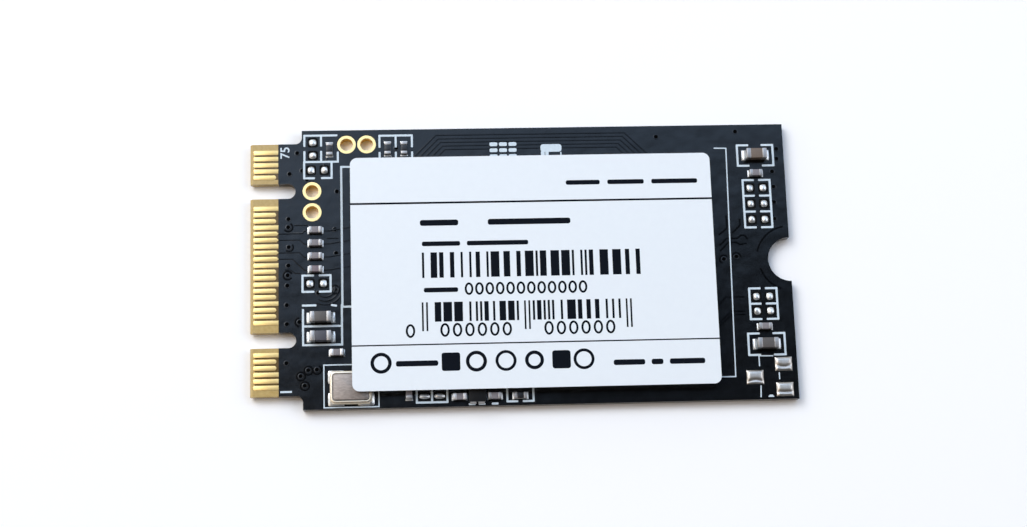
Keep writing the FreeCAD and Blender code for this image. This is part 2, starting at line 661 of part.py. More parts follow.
# Two-ended chips: name, family, height, middle along and across the board, and whether it lies across.
CHIPS = [
    (f"line_capacitor_{step + 1}", "small", "small_height",
     LINE_X, f"(line_above - {step} * (small_width + line_gap))", False)
    for step in range(4)
] + [
    ("pull_up_resistor_1", "small", "small_resistor_height",
     f"({CONTACT_EDGE} + pull_up_from_edge)", PULL_UP_Y, True),
    ("pull_up_resistor_2", "small", "small_resistor_height", PULL_UP_PAIR_X, PULL_UP_Y, True),
    ("pull_up_resistor_3", "small", "small_resistor_height",
     f"({PULL_UP_PAIR_X} + small_width + pull_up_gap)", PULL_UP_Y, True),
    ("supply_capacitor_1", "large", "large_height", SUPPLY_X, "(-supply_below)", False),
    ("supply_capacitor_2", "large", "large_height",
     SUPPLY_X, "(-supply_below - large_width - supply_gap)", False),
    ("supply_capacitor_3", "large", "large_height",
     RIGHT_SUPPLY_X, f"({UPPER_SIDE} - right_supply_from_upper)", False),
    ("supply_capacitor_4", "large", "large_height",
     RIGHT_SUPPLY_X, f"({LOWER_SIDE} + right_supply_from_lower)", False),
    ("filter_capacitor_1", "small", "small_height", FILTER_X, f"({UPPER_SIDE} - filter_from_upper)", False),
    ("filter_capacitor_2", "small", "small_height", FILTER_X, f"({LOWER_SIDE} + filter_from_lower)", False),
    ("clock_capacitor", "small", "small_height",
     f"({CONTACT_EDGE} + clock_from_edge)", f"({LOWER_SIDE} + clock_from_lower)", False),
    ("edge_capacitor_1", "small", "small_height", f"({UPRIGHT_X} - 2 * {UPRIGHT_STEP})", UPRIGHT_Y, True),
    ("edge_capacitor_2", "small", "small_height", ROW_LEFT_X, ROW_Y, False),
    ("edge_capacitor_3", "small", "small_height", ROW_RIGHT_X, ROW_Y, False),
    ("edge_resistor", "small", "small_resistor_height", ROW_RESISTOR_X, ROW_Y, False),
]


def make_chip(name, family, height, x, y, upright):
    """A chip's body, its two plated ends and the solder that climbs them."""
    length, width, terminal = f"{family}_length", f"{family}_width", f"{family}_terminal"

    def sides(along, across):
        return (across, along) if upright else (along, across)

    def shifted(offset):
        return (x, f"({y} + {offset})") if upright else (f"({x} + {offset})", y)

    body_length, body_width = sides(f"({length} - 2 * {terminal})", f"({width} - 2 * terminal_lip)")
    body = block(
        f"{name}_body", body_length, body_width, f"({height} - 2 * terminal_lip)", x, y,
        "(board_thick + terminal_lip)")
    ends = []
    solder = []
    for sign, turn in ((1, 0), (-1, 180)):
        end_length, end_width = sides(terminal, width)
        end_x, end_y = shifted(f"{sign} * ({length} - {terminal}) / 2")
        plain = block(f"{name}_end_{turn}", end_length, end_width, height, end_x, end_y, "board_thick")
        ends.append(bevelled(f"{name}_terminal_{turn}", plain, "terminal_edge"))
        face_x, face_y = shifted(f"{sign} * {length} / 2")
        solder.append(solder_ramp(
            f"{name}_solder_{turn}", width, f"{family}_solder", f"({height} - solder_stop)",
            turn if upright else turn - 90, face_x, face_y, "board_thick"))
    return body, group(f"{name}_terminals", ends), solder


def make_empty_lands():
    """Solder on the pairs of lands that carry no chip."""
    right_x = f"({SCREW_EDGE} - right_land_from_screw)"
    pairs = [
        (f"({CONTACT_EDGE} + corner_land_from_edge)", f"({UPPER_SIDE} - corner_land_from_side)", True),
        (f"({CONTACT_EDGE} + second_land_from_edge)", f"({UPPER_SIDE} - second_land_from_side)", False),
        (f"({CONTACT_EDGE} + third_land_from_edge)", "(-third_land_below)", False),
    ]
    for step in range(3):
        y = f"({UPPER_SIDE} - upper_land_from_side - {step} * (land_width + upper_land_gap))"
        pairs.append((right_x, y, False))
    for step in range(2):
        y = f"({LOWER_SIDE} + lower_land_from_side + {step} * (land_width + lower_land_gap))"
        pairs.append((right_x, y, False))
    lands = []
    for x, y, upright in pairs:
        plan = ("land_width", "land_length") if upright else ("land_length", "land_width")
        for sign in (1, -1):
            offset = f"{sign} * land_spacing / 2"
            spot = (x, f"({y} + {offset})") if upright else (f"({x} + {offset})", y)
            lands.append(plan + spot)
    for step in range(2):
        x = f"({UPRIGHT_X} - {step} * {UPRIGHT_STEP})"
        for offset in ("0", "land_spacing"):
            y = f"({LOWER_SIDE} + row_land_from_lower + {offset})"
            lands.append(("row_land_width", "row_land_length", x, y))
    return group("empty_land_solder", [
        frustum(f"land_solder_{number}", length, width, "land_height", "land_slope", x, y, "board_thick")
        for number, (length, width, x, y) in enumerate(lands, start=1)
    ])


def make_transistor_lands():
    """Solder on the three lands of a transistor that isn't fitted."""
    middle_y = f"({LOWER_SIDE} + transistor_from_lower)"
    outer_x = f"({SCREW_EDGE} - transistor_from_screw)"
    outer_step = "((transistor_land_width + transistor_land_gap) / 2)"
    spots = [
        (f"({outer_x} - transistor_land_length - transistor_inner_gap)", middle_y),
        (outer_x, f"({middle_y} + {outer_step})"),
        (outer_x, f"({middle_y} - {outer_step})"),
    ]
    return group("transistor_land_solder", [
        frustum(
            f"transistor_solder_{number}", "transistor_land_length", "transistor_land_width",
            "transistor_land_height", "land_slope", x, y, "board_thick")
        for number, (x, y) in enumerate(spots, start=1)
    ])


def in_keys(pin):
    """Whether a contact position is lost to a key notch."""
    return any(first <= pin <= last for first, last in (UPPER_KEY_PINS, LOWER_KEY_PINS))


upper_pins = [pin for pin in range(FIRST_PIN, LAST_PIN + 1, 2) if not in_keys(pin)]
lower_pins = [pin for pin in range(FIRST_PIN + 1, LAST_PIN + 1, 2) if not in_keys(pin)]

nodes = [
    make_board(),
    make_contacts("edge_contacts_top", upper_pins, FULL_PINS_ABOVE, "(board_thick - mask_thick)"),
    make_contacts("edge_contacts_bottom", lower_pins, FULL_PINS_BELOW, "(mask_thick - contact_thick)"),
    make_plated_holes(),
    make_package("controller_chip", "controller_side", "controller_side", CONTROLLER_X, CONTROLLER_Y),
    make_controller_joints(),
    make_package("flash_memory_chip", "flash_length", "flash_width", FLASH_X, FLASH_Y),
    make_flash_joints(),
    make_label(),
    make_crystal_base(),
    make_crystal_lid(),
    make_crystal_joints(),
    make_regulator(),
    make_regulator_joints(),
    make_empty_lands(),
    make_transistor_lands(),
]
all_solder = []
for chip in CHIPS:
    chip_body, chip_ends, chip_solder = make_chip(*chip)
    nodes += [chip_body, chip_ends]
    all_solder += chip_solder
nodes.append(group("chip_solder_fillets", all_solder))
doc.recompute()

for thing in doc.Objects:
    if "Invalid" in thing.State or "Error" in thing.State:
        raise RuntimeError(f"{thing.Name} did not compute: {thing.State}")
for node in nodes:
    node.Label = node.Name
    if node.Shape.isNull() or not node.Shape.isValid():
        raise RuntimeError(f"{node.Label} has no valid shape")
for node in nodes:
    node.Shape.exportStep(f"parts/{node.Label}.step")
    box = node.Shape.BoundBox
    print(
        f"{node.Label}: {len(node.Shape.Solids)} solid(s), {node.Shape.Volume:.4f} mm3, "
        f"z {box.ZMin:.3f} to {box.ZMax:.3f}")
print(f"{len(nodes)} nodes")
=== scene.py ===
# %% [markdown]
# A short gumstick solid state drive, dressed for its portrait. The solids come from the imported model, at
# their real size, and everything here is finish: printed ink, plated metal, solder that flowed, fired
# ceramic and paper. The frame is loaded once and never moved.

# %% Load the fixed frame
import json
import math
import random

import bmesh
import bpy
from mathutils import Matrix, Vector


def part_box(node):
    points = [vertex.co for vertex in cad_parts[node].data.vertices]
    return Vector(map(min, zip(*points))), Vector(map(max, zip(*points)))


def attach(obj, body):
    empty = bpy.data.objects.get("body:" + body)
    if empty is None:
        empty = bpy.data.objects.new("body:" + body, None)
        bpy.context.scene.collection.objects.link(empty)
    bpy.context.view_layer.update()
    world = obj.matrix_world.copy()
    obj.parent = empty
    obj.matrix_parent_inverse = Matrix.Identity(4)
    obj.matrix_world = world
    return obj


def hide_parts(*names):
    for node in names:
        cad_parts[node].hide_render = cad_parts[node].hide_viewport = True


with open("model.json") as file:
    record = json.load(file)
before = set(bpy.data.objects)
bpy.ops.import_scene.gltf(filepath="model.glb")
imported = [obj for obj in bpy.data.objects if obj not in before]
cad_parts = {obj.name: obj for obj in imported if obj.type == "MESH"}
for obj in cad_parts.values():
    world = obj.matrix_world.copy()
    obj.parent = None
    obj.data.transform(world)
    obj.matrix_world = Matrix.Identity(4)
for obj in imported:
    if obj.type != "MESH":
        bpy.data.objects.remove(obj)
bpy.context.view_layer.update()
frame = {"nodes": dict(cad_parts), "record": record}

NODES = frame["nodes"]
print(f"{len(NODES)} nodes of solids in the frame")

# %% [markdown]
# Small things are easier to think about in millimetres, but the frame is in metres. So each new piece is
# modelled in millimetres and scaled once, when its mesh becomes an object. That also keeps the bevels
# honest: their tolerances are made for shapes that are about one unit large.

# %% Measure the frame in millimetres
MM = 0.001
SAME_PLACE = 1e-4


def box_mm(node):
    """Lowest and highest corner of a node."""
    low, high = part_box(node)
    return low / MM, high / MM


def box_of(boxes):
    """One box around several."""
    return (
        Vector(min(low[axis] for low, high in boxes) for axis in range(3)),
        Vector(max(high[axis] for low, high in boxes) for axis in range(3)))


def solids_mm(node):
    """Lowest and highest corner of each separate solid in a node, along the board and then across it."""
    shape = bmesh.new()
    shape.from_mesh(NODES[node].data)
    bmesh.ops.scale(shape, vec=Vector((1, 1, 1)) / MM, verts=shape.verts)
    bmesh.ops.remove_doubles(shape, verts=shape.verts, dist=SAME_PLACE)
    waiting = dict.fromkeys(shape.verts)
    boxes = []
    while waiting:
        front = [waiting.popitem()[0]]
        corners = []
        while front:
            vert = front.pop()
            corners.append((vert.co.copy(), vert.co.copy()))
            for edge in vert.link_edges:
                other = edge.other_vert(vert)
                if other in waiting:
                    del waiting[other]
                    front.append(other)
        boxes.append(box_of(corners))
    shape.free()
    return sorted(boxes, key=lambda box: (round(box[0].x, 3), round(box[0].y, 3)))


BOARD_LOW, BOARD_HIGH = box_mm("circuit_board")
FACE = BOARD_HIGH.z
LABEL_LOW, LABEL_HIGH = box_mm("label")
LANDS = solids_mm("empty_land_solder")
print(f"board {BOARD_HIGH.x - BOARD_LOW.x:.2f} x {BOARD_HIGH.y - BOARD_LOW.y:.2f} mm, face at {FACE:.2f} mm")
print(f"{len(LANDS)} bare lands with solder")

# %% [markdown]
# Every piece ends the same way: its mesh is scaled to metres, gets smooth shading that stops at real edges,
# and is tied to the drive's one rigid body. A piece that stands for a solid hides that solid.

# %% Turn a mesh into a piece of the drive
SHARP_ANGLE = math.radians(38)


def place_object(name, data):
    """A new object in the scene."""
    made = bpy.data.objects.new(name, data)
    bpy.context.scene.collection.objects.link(made)
    return made


def finish_piece(name, shape, finishes, stands_for=()):
    """Make an object at the origin from a mesh in millimetres."""
    bmesh.ops.scale(shape, vec=Vector((MM, MM, MM)), verts=shape.verts)
    mesh = bpy.data.meshes.new(name)
    shape.to_mesh(mesh)
    shape.free()
    mesh.shade_smooth()
    mesh.set_sharp_from_angle(angle=SHARP_ANGLE)
    for finish in finishes:
        mesh.materials.append(finish)
    piece = place_object(name, mesh)
    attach(piece, "root")
    if stands_for:
        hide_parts(*stands_for)
    print(f"{name}: {len(mesh.polygons)} faces")
    return piece


print(f"edges that turn by more than {math.degrees(SHARP_ANGLE):.0f} degrees stay sharp")

# %% [markdown]
# Most things on a board are small blocks, and none has razor edges. A cube that is stretched between two
# corners makes the block, and a bevel on chosen edges takes the sharpness off. Edges are gathered in the
# order of their corners, because the order of a Python set changes from run to run.

# %% Blocks and soft edges
UPRIGHT_SHARE = 0.9


def add_block(shape, low, high):
    """A box between two corners."""
    low, high = Vector(low), Vector(high)
    place = Matrix.Translation((low + high) / 2) @ Matrix.Diagonal((*(high - low), 1))
    return bmesh.ops.create_cube(shape, size=1, matrix=place)["verts"]


def edges_of(verts, test=lambda edge: True):
    """Edges between given vertices that pass a test."""
    return [edge for edge in dict.fromkeys(e for v in verts for e in v.link_edges) if test(edge)]


def upright(edge):
    """Whether an edge stands straight up."""
    step = edge.verts[1].co - edge.verts[0].co
    return abs(step.z) > UPRIGHT_SHARE * step.length


def soften(shape, edges, radius, segments=3):
    """Round off some edges."""
    bmesh.ops.bevel(
        shape, geom=edges, offset=radius, segments=segments, profile=0.5, affect="EDGES",
        clamp_overlap=True, material=-1)


print("blocks can be added and softened")

# %% [markdown]
# Colours are kept as the hex values that an artist would read off a screen, and one function makes them
# linear. One small function adds a shader node: it sets the node's own properties, and fills or links its
# inputs.

# %% Colour and node helpers
def linear(hex_colour):
    """A screen colour such as #f0d080 as linear red, green, blue and alpha."""
    parts = [int(hex_colour[i:i + 2], 16) / 255 for i in (1, 3, 5)]
    return [p / 12.92 if p <= 0.04045 else ((p + 0.055) / 1.055) ** 2.4 for p in parts] + [1.0]


def add_node(tree, kind, inputs=None, **settings):
    """Add a node, with its settings, and values or links for its inputs."""
    made = tree.nodes.new(kind)
    for name, value in settings.items():
        setattr(made, name, value)
    for socket, value in (inputs or {}).items():
        if isinstance(value, bpy.types.NodeSocket):
            tree.links.new(value, made.inputs[socket])
        else:
            made.inputs[socket].default_value = value
    return made


def start_finish(name, **constants):
    """A new material, its shader with constant sockets set, and the place on the piece."""
    finish = bpy.data.materials.new(name)
    finish.use_nodes = True
    tree = finish.node_tree
    shader = tree.nodes["Principled BSDF"]
    for socket, value in constants.items():
        shader.inputs[socket.replace("_", " ")].default_value = value
    place = add_node(tree, "ShaderNodeTexCoord").outputs["Object"]
    return finish, tree, shader, place


def feed(tree, shader, **sources):
    """Link patterns to the shader's sockets."""
    for socket, source in sources.items():
        tree.links.new(source, shader.inputs[socket.replace("_", " ")])


def per_metre(size_mm):
    """Texture scale for a pattern whose features are this many millimetres apart."""
    return 1 / (size_mm * MM)


print(f"screen grey #808080 is {linear('#808080')[0]:.3f} in linear light")

# %% [markdown]
# The board is glass cloth in resin, with a black solder mask screened over both faces and cured. The mask
# is semi-gloss and a little uneven, because it flows over the copper below: slow waves bend what it mirrors
# and fine ripples blur it. Over tracks it lies thinner and shines less, so they show as dark lines.

# %% Cured solder mask
MASK_DARK = "#020304"
MASK_LIGHT = "#06070a"
MASK_PATCH = 4.0
MASK_WAVE = 1.6
MASK_RIPPLE = 0.35
WAVE_HEIGHT = 0.03
RIPPLE_HEIGHT = 0.02


def cured_mask(name, light=MASK_LIGHT, dark=MASK_DARK, shine=0.5):
    """Black solder mask: semi-gloss resin that pooled unevenly, in slow waves and fine ripples."""
    finish, tree, shader, place = start_finish(name, IOR=1.5, Specular_IOR_Level=shine)
    patch, wave, ripple = (
        add_node(tree, "ShaderNodeTexNoise", {
            "Vector": place, "Scale": per_metre(size), "Detail": detail}).outputs["Fac"]
        for size, detail in ((MASK_PATCH, 3.0), (MASK_WAVE, 1.0), (MASK_RIPPLE, 2.0)))
    shade = add_node(tree, "ShaderNodeMix", {0: patch, 6: linear(dark), 7: linear(light)}, data_type="RGBA")
    polish = add_node(tree, "ShaderNodeMapRange", {"Value": ripple, "To Min": 0.18, "To Max": 0.27})
    pooled = add_node(tree, "ShaderNodeBump", {"Height": wave, "Distance": WAVE_HEIGHT * MM})
    relief = add_node(tree, "ShaderNodeBump", {
        "Height": ripple, "Strength": 0.15, "Distance": RIPPLE_HEIGHT * MM,
        "Normal": pooled.outputs["Normal"]})
    feed(tree, shader, Base_Color=shade.outputs[2], Roughness=polish.outputs["Result"],
         Normal=relief.outputs["Normal"])
    return finish


COPPER_UNDER_MASK = cured_mask("solder_mask_over_copper", "#050608", "#020203", shine=0.08)
BUS_UNDER_MASK = cured_mask("solder_mask_over_bus", shine=0.34)
MASK_OVER_RING = cured_mask("solder_mask_over_ring")
print("mask over tracks, buses and rings")

# %% [markdown]
# The mask stops short of the contact edge, where the honey-coloured laminate shows, with painted shade in the
# gaps between contacts, and the routed sides of the board are dull, with painted shade that makes them nearly
# black. One finish holds it all: the height in the board tells mask from laminate, and the place along the
# board tells the open strip from the routed sides.

# %% Board with open laminate
LAMINATE_LIGHT = "#c4ad74"
LAMINATE_DARK = "#a88b4e"
LAMINATE_GRAIN = 0.25
# painted shade: the laminate between contacts is darkened where the copper's walls shade it
GAP_SHADE = "#604a1f"
GAP_START = 0.36
# painted shade: the routed sides are painted near black for the shade they lie in, though the laminate is
# honey-coloured
ROUTED_SIDE_SHADE = "#1c1512"
MASK_OPEN_DEPTH = 0.02
CONTACT_STRIP_END = BOARD_LOW.x + 2.18
ROW_BREAK = 0.4


def contact_rows():
    """Lowest and highest y of each unbroken row of contacts."""
    rows = []
    for low, high in sorted(solids_mm("edge_contacts_top"), key=lambda box: box[0].y):
        if rows and low.y - rows[-1][1] < ROW_BREAK:
            rows[-1][1] = high.y
        else:
            rows.append([low.y, high.y])
    return rows


def spot_on(finish):
    """A finish's node tree, with the place on the piece, whole and as separate coordinates."""
    tree = finish.node_tree
    place = tree.nodes["Texture Coordinate"].outputs["Object"]
    return tree, place, add_node(tree, "ShaderNodeSeparateXYZ", {0: place})


def compare_distance(tree, value, middle, reach, test):
    """Test whether a coordinate lies within some reach of a middle, or beyond it."""
    off = add_node(tree, "ShaderNodeMath", {0: value, 1: middle * MM}, operation="SUBTRACT")
    distance = add_node(tree, "ShaderNodeMath", {0: off.outputs[0]}, operation="ABSOLUTE")
    return add_node(tree, "ShaderNodeMath", {
        0: distance.outputs[0], 1: reach * MM}, operation=test).outputs[0]


def near_faces(tree, spot, depth):
    """One within some depth of the board's two faces, and nought between."""
    half = (BOARD_HIGH.z - BOARD_LOW.z) / 2
    return compare_distance(tree, spot.outputs["Z"], BOARD_LOW.z + half, half - depth, "GREATER_THAN")


def only_where(finish, test, elsewhere):
    """Keep a finish's colour where a test holds, and show another one elsewhere."""
    tree = finish.node_tree
    shader = tree.nodes["Principled BSDF"]
    here = shader.inputs["Base Color"].links[0].from_socket
    whole = add_node(tree, "ShaderNodeMix", {0: test, 6: elsewhere, 7: here}, data_type="RGBA")
    feed(tree, shader, Base_Color=whole.outputs[2])
    return finish


def board_finish():
    """Mask on both faces, open laminate at the contact edge, painted shade in its gaps and on the routed
    sides.
    """
    finish = cured_mask("solder_mask_on_glass_laminate")
    tree, place, spot = spot_on(finish)
    in_strip = add_node(tree, "ShaderNodeMath", {
        0: spot.outputs["X"], 1: CONTACT_STRIP_END * MM}, operation="LESS_THAN")
    cloth = add_node(tree, "ShaderNodeTexNoise", {
        "Vector": place, "Scale": per_metre(LAMINATE_GRAIN), "Detail": 3.0})
    strip = add_node(tree, "ShaderNodeMix", {
        0: cloth.outputs["Fac"], 6: linear(LAMINATE_DARK), 7: linear(LAMINATE_LIGHT)}, data_type="RGBA")
    behind_fronts = add_node(tree, "ShaderNodeMath", {
        0: spot.outputs["X"], 1: (BOARD_LOW.x + GAP_START) * MM}, operation="GREATER_THAN")
    for low, high in contact_rows():
        in_row = compare_distance(tree, spot.outputs["Y"], (low + high) / 2, (high - low) / 2, "LESS_THAN")
        # painted shade darkens the laminate in the gaps between contacts
        in_gap_shade = add_node(tree, "ShaderNodeMath", {
            0: in_row, 1: behind_fronts.outputs[0]}, operation="MULTIPLY")
        strip = add_node(tree, "ShaderNodeMix", {
            0: in_gap_shade.outputs[0], 6: strip.outputs[2], 7: linear(GAP_SHADE)}, data_type="RGBA")
    # the routed sides take the painted shade colour
    bare = add_node(tree, "ShaderNodeMix", {
        0: in_strip.outputs[0], 6: linear(ROUTED_SIDE_SHADE), 7: strip.outputs[2]}, data_type="RGBA")
    return only_where(finish, near_faces(tree, spot, MASK_OPEN_DEPTH), bare.outputs[2])


NODES["circuit_board"].material_slots[0].material = board_finish()
print(f"open laminate up to {CONTACT_STRIP_END:.2f} mm, in {len(contact_rows())} rows of contacts")

# %% [markdown]
# Metals next. The contacts and rings are copper with nickel and a flash of gold, so they are pale and warm.
# Chip ends are plated with matte tin, and the solder that holds them froze from a liquid, so it is
# brighter. Where it lies in a wide pool it cooled slowly and looks grainy. The real grain is too fine to
# show at this size, so it is drawn a tenth of a millimetre coarse or more.

# %% Plated metals and solder
GRAIN_HEIGHT = 0.01


def grained(
        name, light, dark, grain_mm, detail, fineness=0.5, polish=None, bump=0.0, stretch=None,
        **constants):
    """A finish whose colour follows a grain, and where asked its polish and its relief too."""
    finish, tree, shader, place = start_finish(name, **constants)
    if stretch:
        place = add_node(tree, "ShaderNodeMapping", {"Vector": place, "Scale": stretch}).outputs["Vector"]
    grain = add_node(tree, "ShaderNodeTexNoise", {
        "Vector": place, "Scale": per_metre(grain_mm), "Detail": detail,
        "Roughness": fineness}).outputs["Fac"]
    tone = add_node(tree, "ShaderNodeMix", {0: grain, 6: linear(dark), 7: linear(light)}, data_type="RGBA")
    feed(tree, shader, Base_Color=tone.outputs[2])
    if polish:
        shown = add_node(tree, "ShaderNodeMapRange", {
            "Value": grain, "To Min": polish[0], "To Max": polish[1]})
        feed(tree, shader, Roughness=shown.outputs["Result"])
    if bump:
        relief = add_node(tree, "ShaderNodeBump", {
            "Height": grain, "Strength": bump, "Distance": GRAIN_HEIGHT * MM})
        feed(tree, shader, Normal=relief.outputs["Normal"])
    return finish


def plated(name, bright, dull, grain_mm, roughness, spread, bump):
    """A metal with slight patches of colour and polish at a given grain."""
    polish = (roughness + spread, roughness - spread)
    return grained(
        name, bright, dull, grain_mm, detail=4.0, fineness=0.6, polish=polish, bump=bump, Metallic=1.0)


GOLD = plated("gold_flash_on_nickel", "#fbe0a0", "#f5d48a", 0.30, 0.50, 0.04, 0.10)
TIN = plated("matte_tin_plate", "#c2c0bf", "#918e8c", 0.10, 0.42, 0.06, 0.20)
BRIGHT_TIN = plated("bright_tin_plate", "#f0eeec", "#cfccca", 0.10, 0.42, 0.06, 0.20)
SOLDER = plated("reflowed_tin_solder", "#f4f6f7", "#dadee0", 0.18, 0.42, 0.06, 0.10)
POOLED_SOLDER = plated("grainy_pooled_solder", "#dcd8d2", "#a9a59f", 0.14, 0.42, 0.08, 0.45)
SEAM = plated("welded_nickel_seam", "#f4ead8", "#e2d5bd", 0.15, 0.36, 0.06, 0.20)
print("gold, two tins, two solders and a nickel seam")

# %% [markdown]
# Two metals need more than patches. The crystal's lid is nickel sheet that was rolled, which leaves fine
# lines along it, so its noise is stretched. A plated hole is gold on its two rings, and down the barrel
# between them a darker gold is painted as the shade inside the hole.

# %% Rolled lid and plated holes
LID_LINE = 0.12
LID_STRETCH = (0.4, 1.0, 1.0)
RING_DEPTH = 0.06
BARREL_GRAIN = 0.2

LID = grained(
    "rolled_nickel_lid", "#b0a8a3", "#6d6662", LID_LINE, detail=3.0, polish=(0.5, 0.6), bump=0.12,
    stretch=LID_STRETCH, Metallic=1.0)
BARREL = grained(
    "gold_ring_with_shaded_barrel", "#fdeab4", "#f5d78f", BARREL_GRAIN, detail=3.0, polish=(0.38, 0.5),
    Metallic=1.0)
tree, place, spot = spot_on(BARREL)
# painted shade: below the rings the barrel is a darker gold, standing for the shade inside the hole
only_where(BARREL, near_faces(tree, spot, RING_DEPTH), linear("#ecc87c"))
print(f"rolling lines {LID_LINE} mm apart, gold rings {RING_DEPTH} mm deep")

# %% [markdown]
# The rest is not metal. Chip bodies are fired ceramic powder, dull and speckled, in greys and browns that
# depend on the powder. Resistors are white ceramic below with a black glaze on top. Packages are black
# epoxy with a fine sand texture from the mould. Inks are thin and a little patchy, and the label is coated
# paper. Here too the grain is drawn coarser than it is, so that it just shows.

# %% Ceramic, epoxy, ink and paper finishes
def speckled(name, light, dark, grain_mm, roughness, bump, shine=0.5):
    """A dull solid with a speckled colour and a grain that can just be felt."""
    return grained(
        name, light, dark, grain_mm, detail=5.0, fineness=0.65, bump=bump, Roughness=roughness,
        Specular_IOR_Level=shine)


POWDERS = {
    "grey": ("#878387", "#6c676b", 0.08),
    "rose": ("#80747b", "#65595e", 0.08),
    "taupe": ("#5c5856", "#464341", 0.10),
    "slate": ("#4c4d56", "#393a42", 0.10),
    "brown": ("#74665a", "#5f5248", 0.10),
}
CERAMICS = {
    f"ceramic_{powder}": speckled(f"fired_{powder}_ceramic", *look, 0.5, 0.3)
    for powder, look in POWDERS.items()}
CRYSTAL_CERAMIC = speckled("fired_ivory_ceramic", "#e4d9c4", "#c8bba4", 0.12, 0.45, 0.2)
PACKAGE = speckled("moulded_black_epoxy", "#1b1b1d", "#111113", 0.09, 0.6, 0.5)
REGULATOR = speckled("moulded_grey_epoxy", "#121417", "#0a0b0d", 0.09, 0.5, 0.5, shine=0.2)
BOARD_INK = speckled("screened_board_ink", "#dce8f0", "#b4c5d0", 0.16, 0.55, 0.4)
LABEL_INK = speckled("printed_label_ink", "#0b121c", "#060a12", 0.20, 0.6, 0.1, shine=0.06)
LABEL_PAPER = speckled("coated_label_paper", "#e5ebef", "#e0e6eb", 0.60, 0.42, 0.08)
print(f"{len(CERAMICS)} capacitor powders, epoxies, inks and paper")

# %% Glazed resistor
GLAZE_DEPTH = 0.06
RESISTOR = speckled("glazed_resistor", "#1d1e23", "#121317", 0.10, 0.35, 0.2)
tree, place, spot = spot_on(RESISTOR)
glaze_foot = box_mm("edge_resistor_body")[1].z - GLAZE_DEPTH
on_top = add_node(tree, "ShaderNodeMath", {
    0: spot.outputs["Z"], 1: glaze_foot * MM}, operation="GREATER_THAN")
only_where(RESISTOR, on_top.outputs[0], linear("#d9d7d1"))
print(f"glaze on the uppermost {GLAZE_DEPTH} mm of a resistor")

# %% [markdown]
# The solids whose shape is already right keep it and only get a finish: the plated holes, the two packages
# and their hidden joints, the crystal's base, the regulator's joints and the label.

# %% Finish the solids that stay
STAYING = {
    "plated_holes": BARREL,
    "controller_chip": PACKAGE,
    "flash_memory_chip": PACKAGE,
    "controller_solder_joints": SOLDER,
    "flash_solder_joints": SOLDER,
    "crystal_base": CRYSTAL_CERAMIC,
    "regulator_solder_joints": TIN,
    "label": LABEL_PAPER,
}
for node, finish in STAYING.items():
    NODES[node].material_slots[0].material = finish
print(f"{len(STAYING)} solids keep their shape")

# %% [markdown]
# The edge contacts are etched copper under gold, so their corners are never razor sharp. Each is a block
# with softened edges. What differs is the inner end: some run straight on under the mask, some end in a
# full round, and the four signal lines narrow to a point where their track begins. A contact's number
# follows from its place across the board, in half-pitch steps from the middle one.

# %% Gold contacts
CONTACT_STEP = 0.25
MIDDLE_CONTACT = 38
POINTED_CONTACTS = (41, 43, 47, 49)
POINT_SHARE = 0.44
ROUND_SHARE = 0.48
FRONT_SHARE = 0.2
CONTACT_SOFTNESS = 0.006
RIM_ANGLE = math.radians(60)


def make_contacts(name, node):
    """Rebuild one face's contacts with soft corners and their three kinds of inner end."""
    shape = bmesh.new()
    boxes = solids_mm(node)
    inner_end = max(high.x for low, high in boxes)
    for low, high in boxes:
        number = round((low.y + high.y) / 2 / CONTACT_STEP) + MIDDLE_CONTACT
        width = high.y - low.y
        if number in POINTED_CONTACTS:
            high.x = inner_end
        verts = add_block(shape, low, high)
        inner = edges_of(verts, lambda e: upright(e) and e.verts[0].co.x > high.x - SAME_PLACE)
        front = edges_of(verts, lambda e: upright(e) and e.verts[0].co.x < low.x + SAME_PLACE)
        if number in POINTED_CONTACTS:
            soften(shape, inner, width * POINT_SHARE, segments=1)
        elif high.x < inner_end - SAME_PLACE:
            soften(shape, inner, width * ROUND_SHARE, segments=5)
        soften(shape, [edge for edge in front if edge.is_valid], width * FRONT_SHARE, segments=2)
    rims = [edge for edge in shape.edges if edge.calc_face_angle(0) > RIM_ANGLE]
    soften(shape, rims, CONTACT_SOFTNESS, segments=2)
    finish_piece(name, shape, [GOLD], [node])


make_contacts("gold_fingers_above", "edge_contacts_top")
make_contacts("gold_fingers_below", "edge_contacts_bottom")

# %% [markdown]
# A ceramic chip is a little brick with a metal cap on each end. The body has tumbled edges, and the caps
# were dipped, so they are rounder than the body and stand a hair proud of it. A rounded block does for
# both, with a radius of its own. Sizes and places come from the solids that the pieces stand for.

# %% Two-ended chips
CHIPS = sorted(node[:-len("_body")] for node in NODES if node.endswith("_body"))
RECORD_SLOTS = {part["node"]: part["material_slot"] for part in frame["record"]["subparts"]}
SHINY_CHIPS = ("edge_capacitor_2", "clock_capacitor")
BODY_ROUND = 0.05
CAP_ROUND = 0.11


def add_soft_block(shape, low, high, share):
    """A block whose edges are rounded by a share of its smallest side."""
    verts = add_block(shape, low, high)
    soften(shape, edges_of(verts), share * min(Vector(high) - Vector(low)), segments=3)


for chip in CHIPS:
    body_slot = RECORD_SLOTS[f"{chip}_body"]
    body = bmesh.new()
    add_soft_block(body, *box_mm(f"{chip}_body"), BODY_ROUND)
    finish = RESISTOR if body_slot == "resistor_glaze" else CERAMICS[body_slot]
    finish_piece(f"{chip}_brick", body, [finish], [f"{chip}_body"])
    caps = bmesh.new()
    for low, high in solids_mm(f"{chip}_terminals"):
        add_soft_block(caps, low, high, CAP_ROUND)
    cap_finish = BRIGHT_TIN if chip in SHINY_CHIPS else TIN
    finish_piece(f"{chip}_caps", caps, [cap_finish], [f"{chip}_terminals"])
print(f"{len(CHIPS)} two-ended chips")

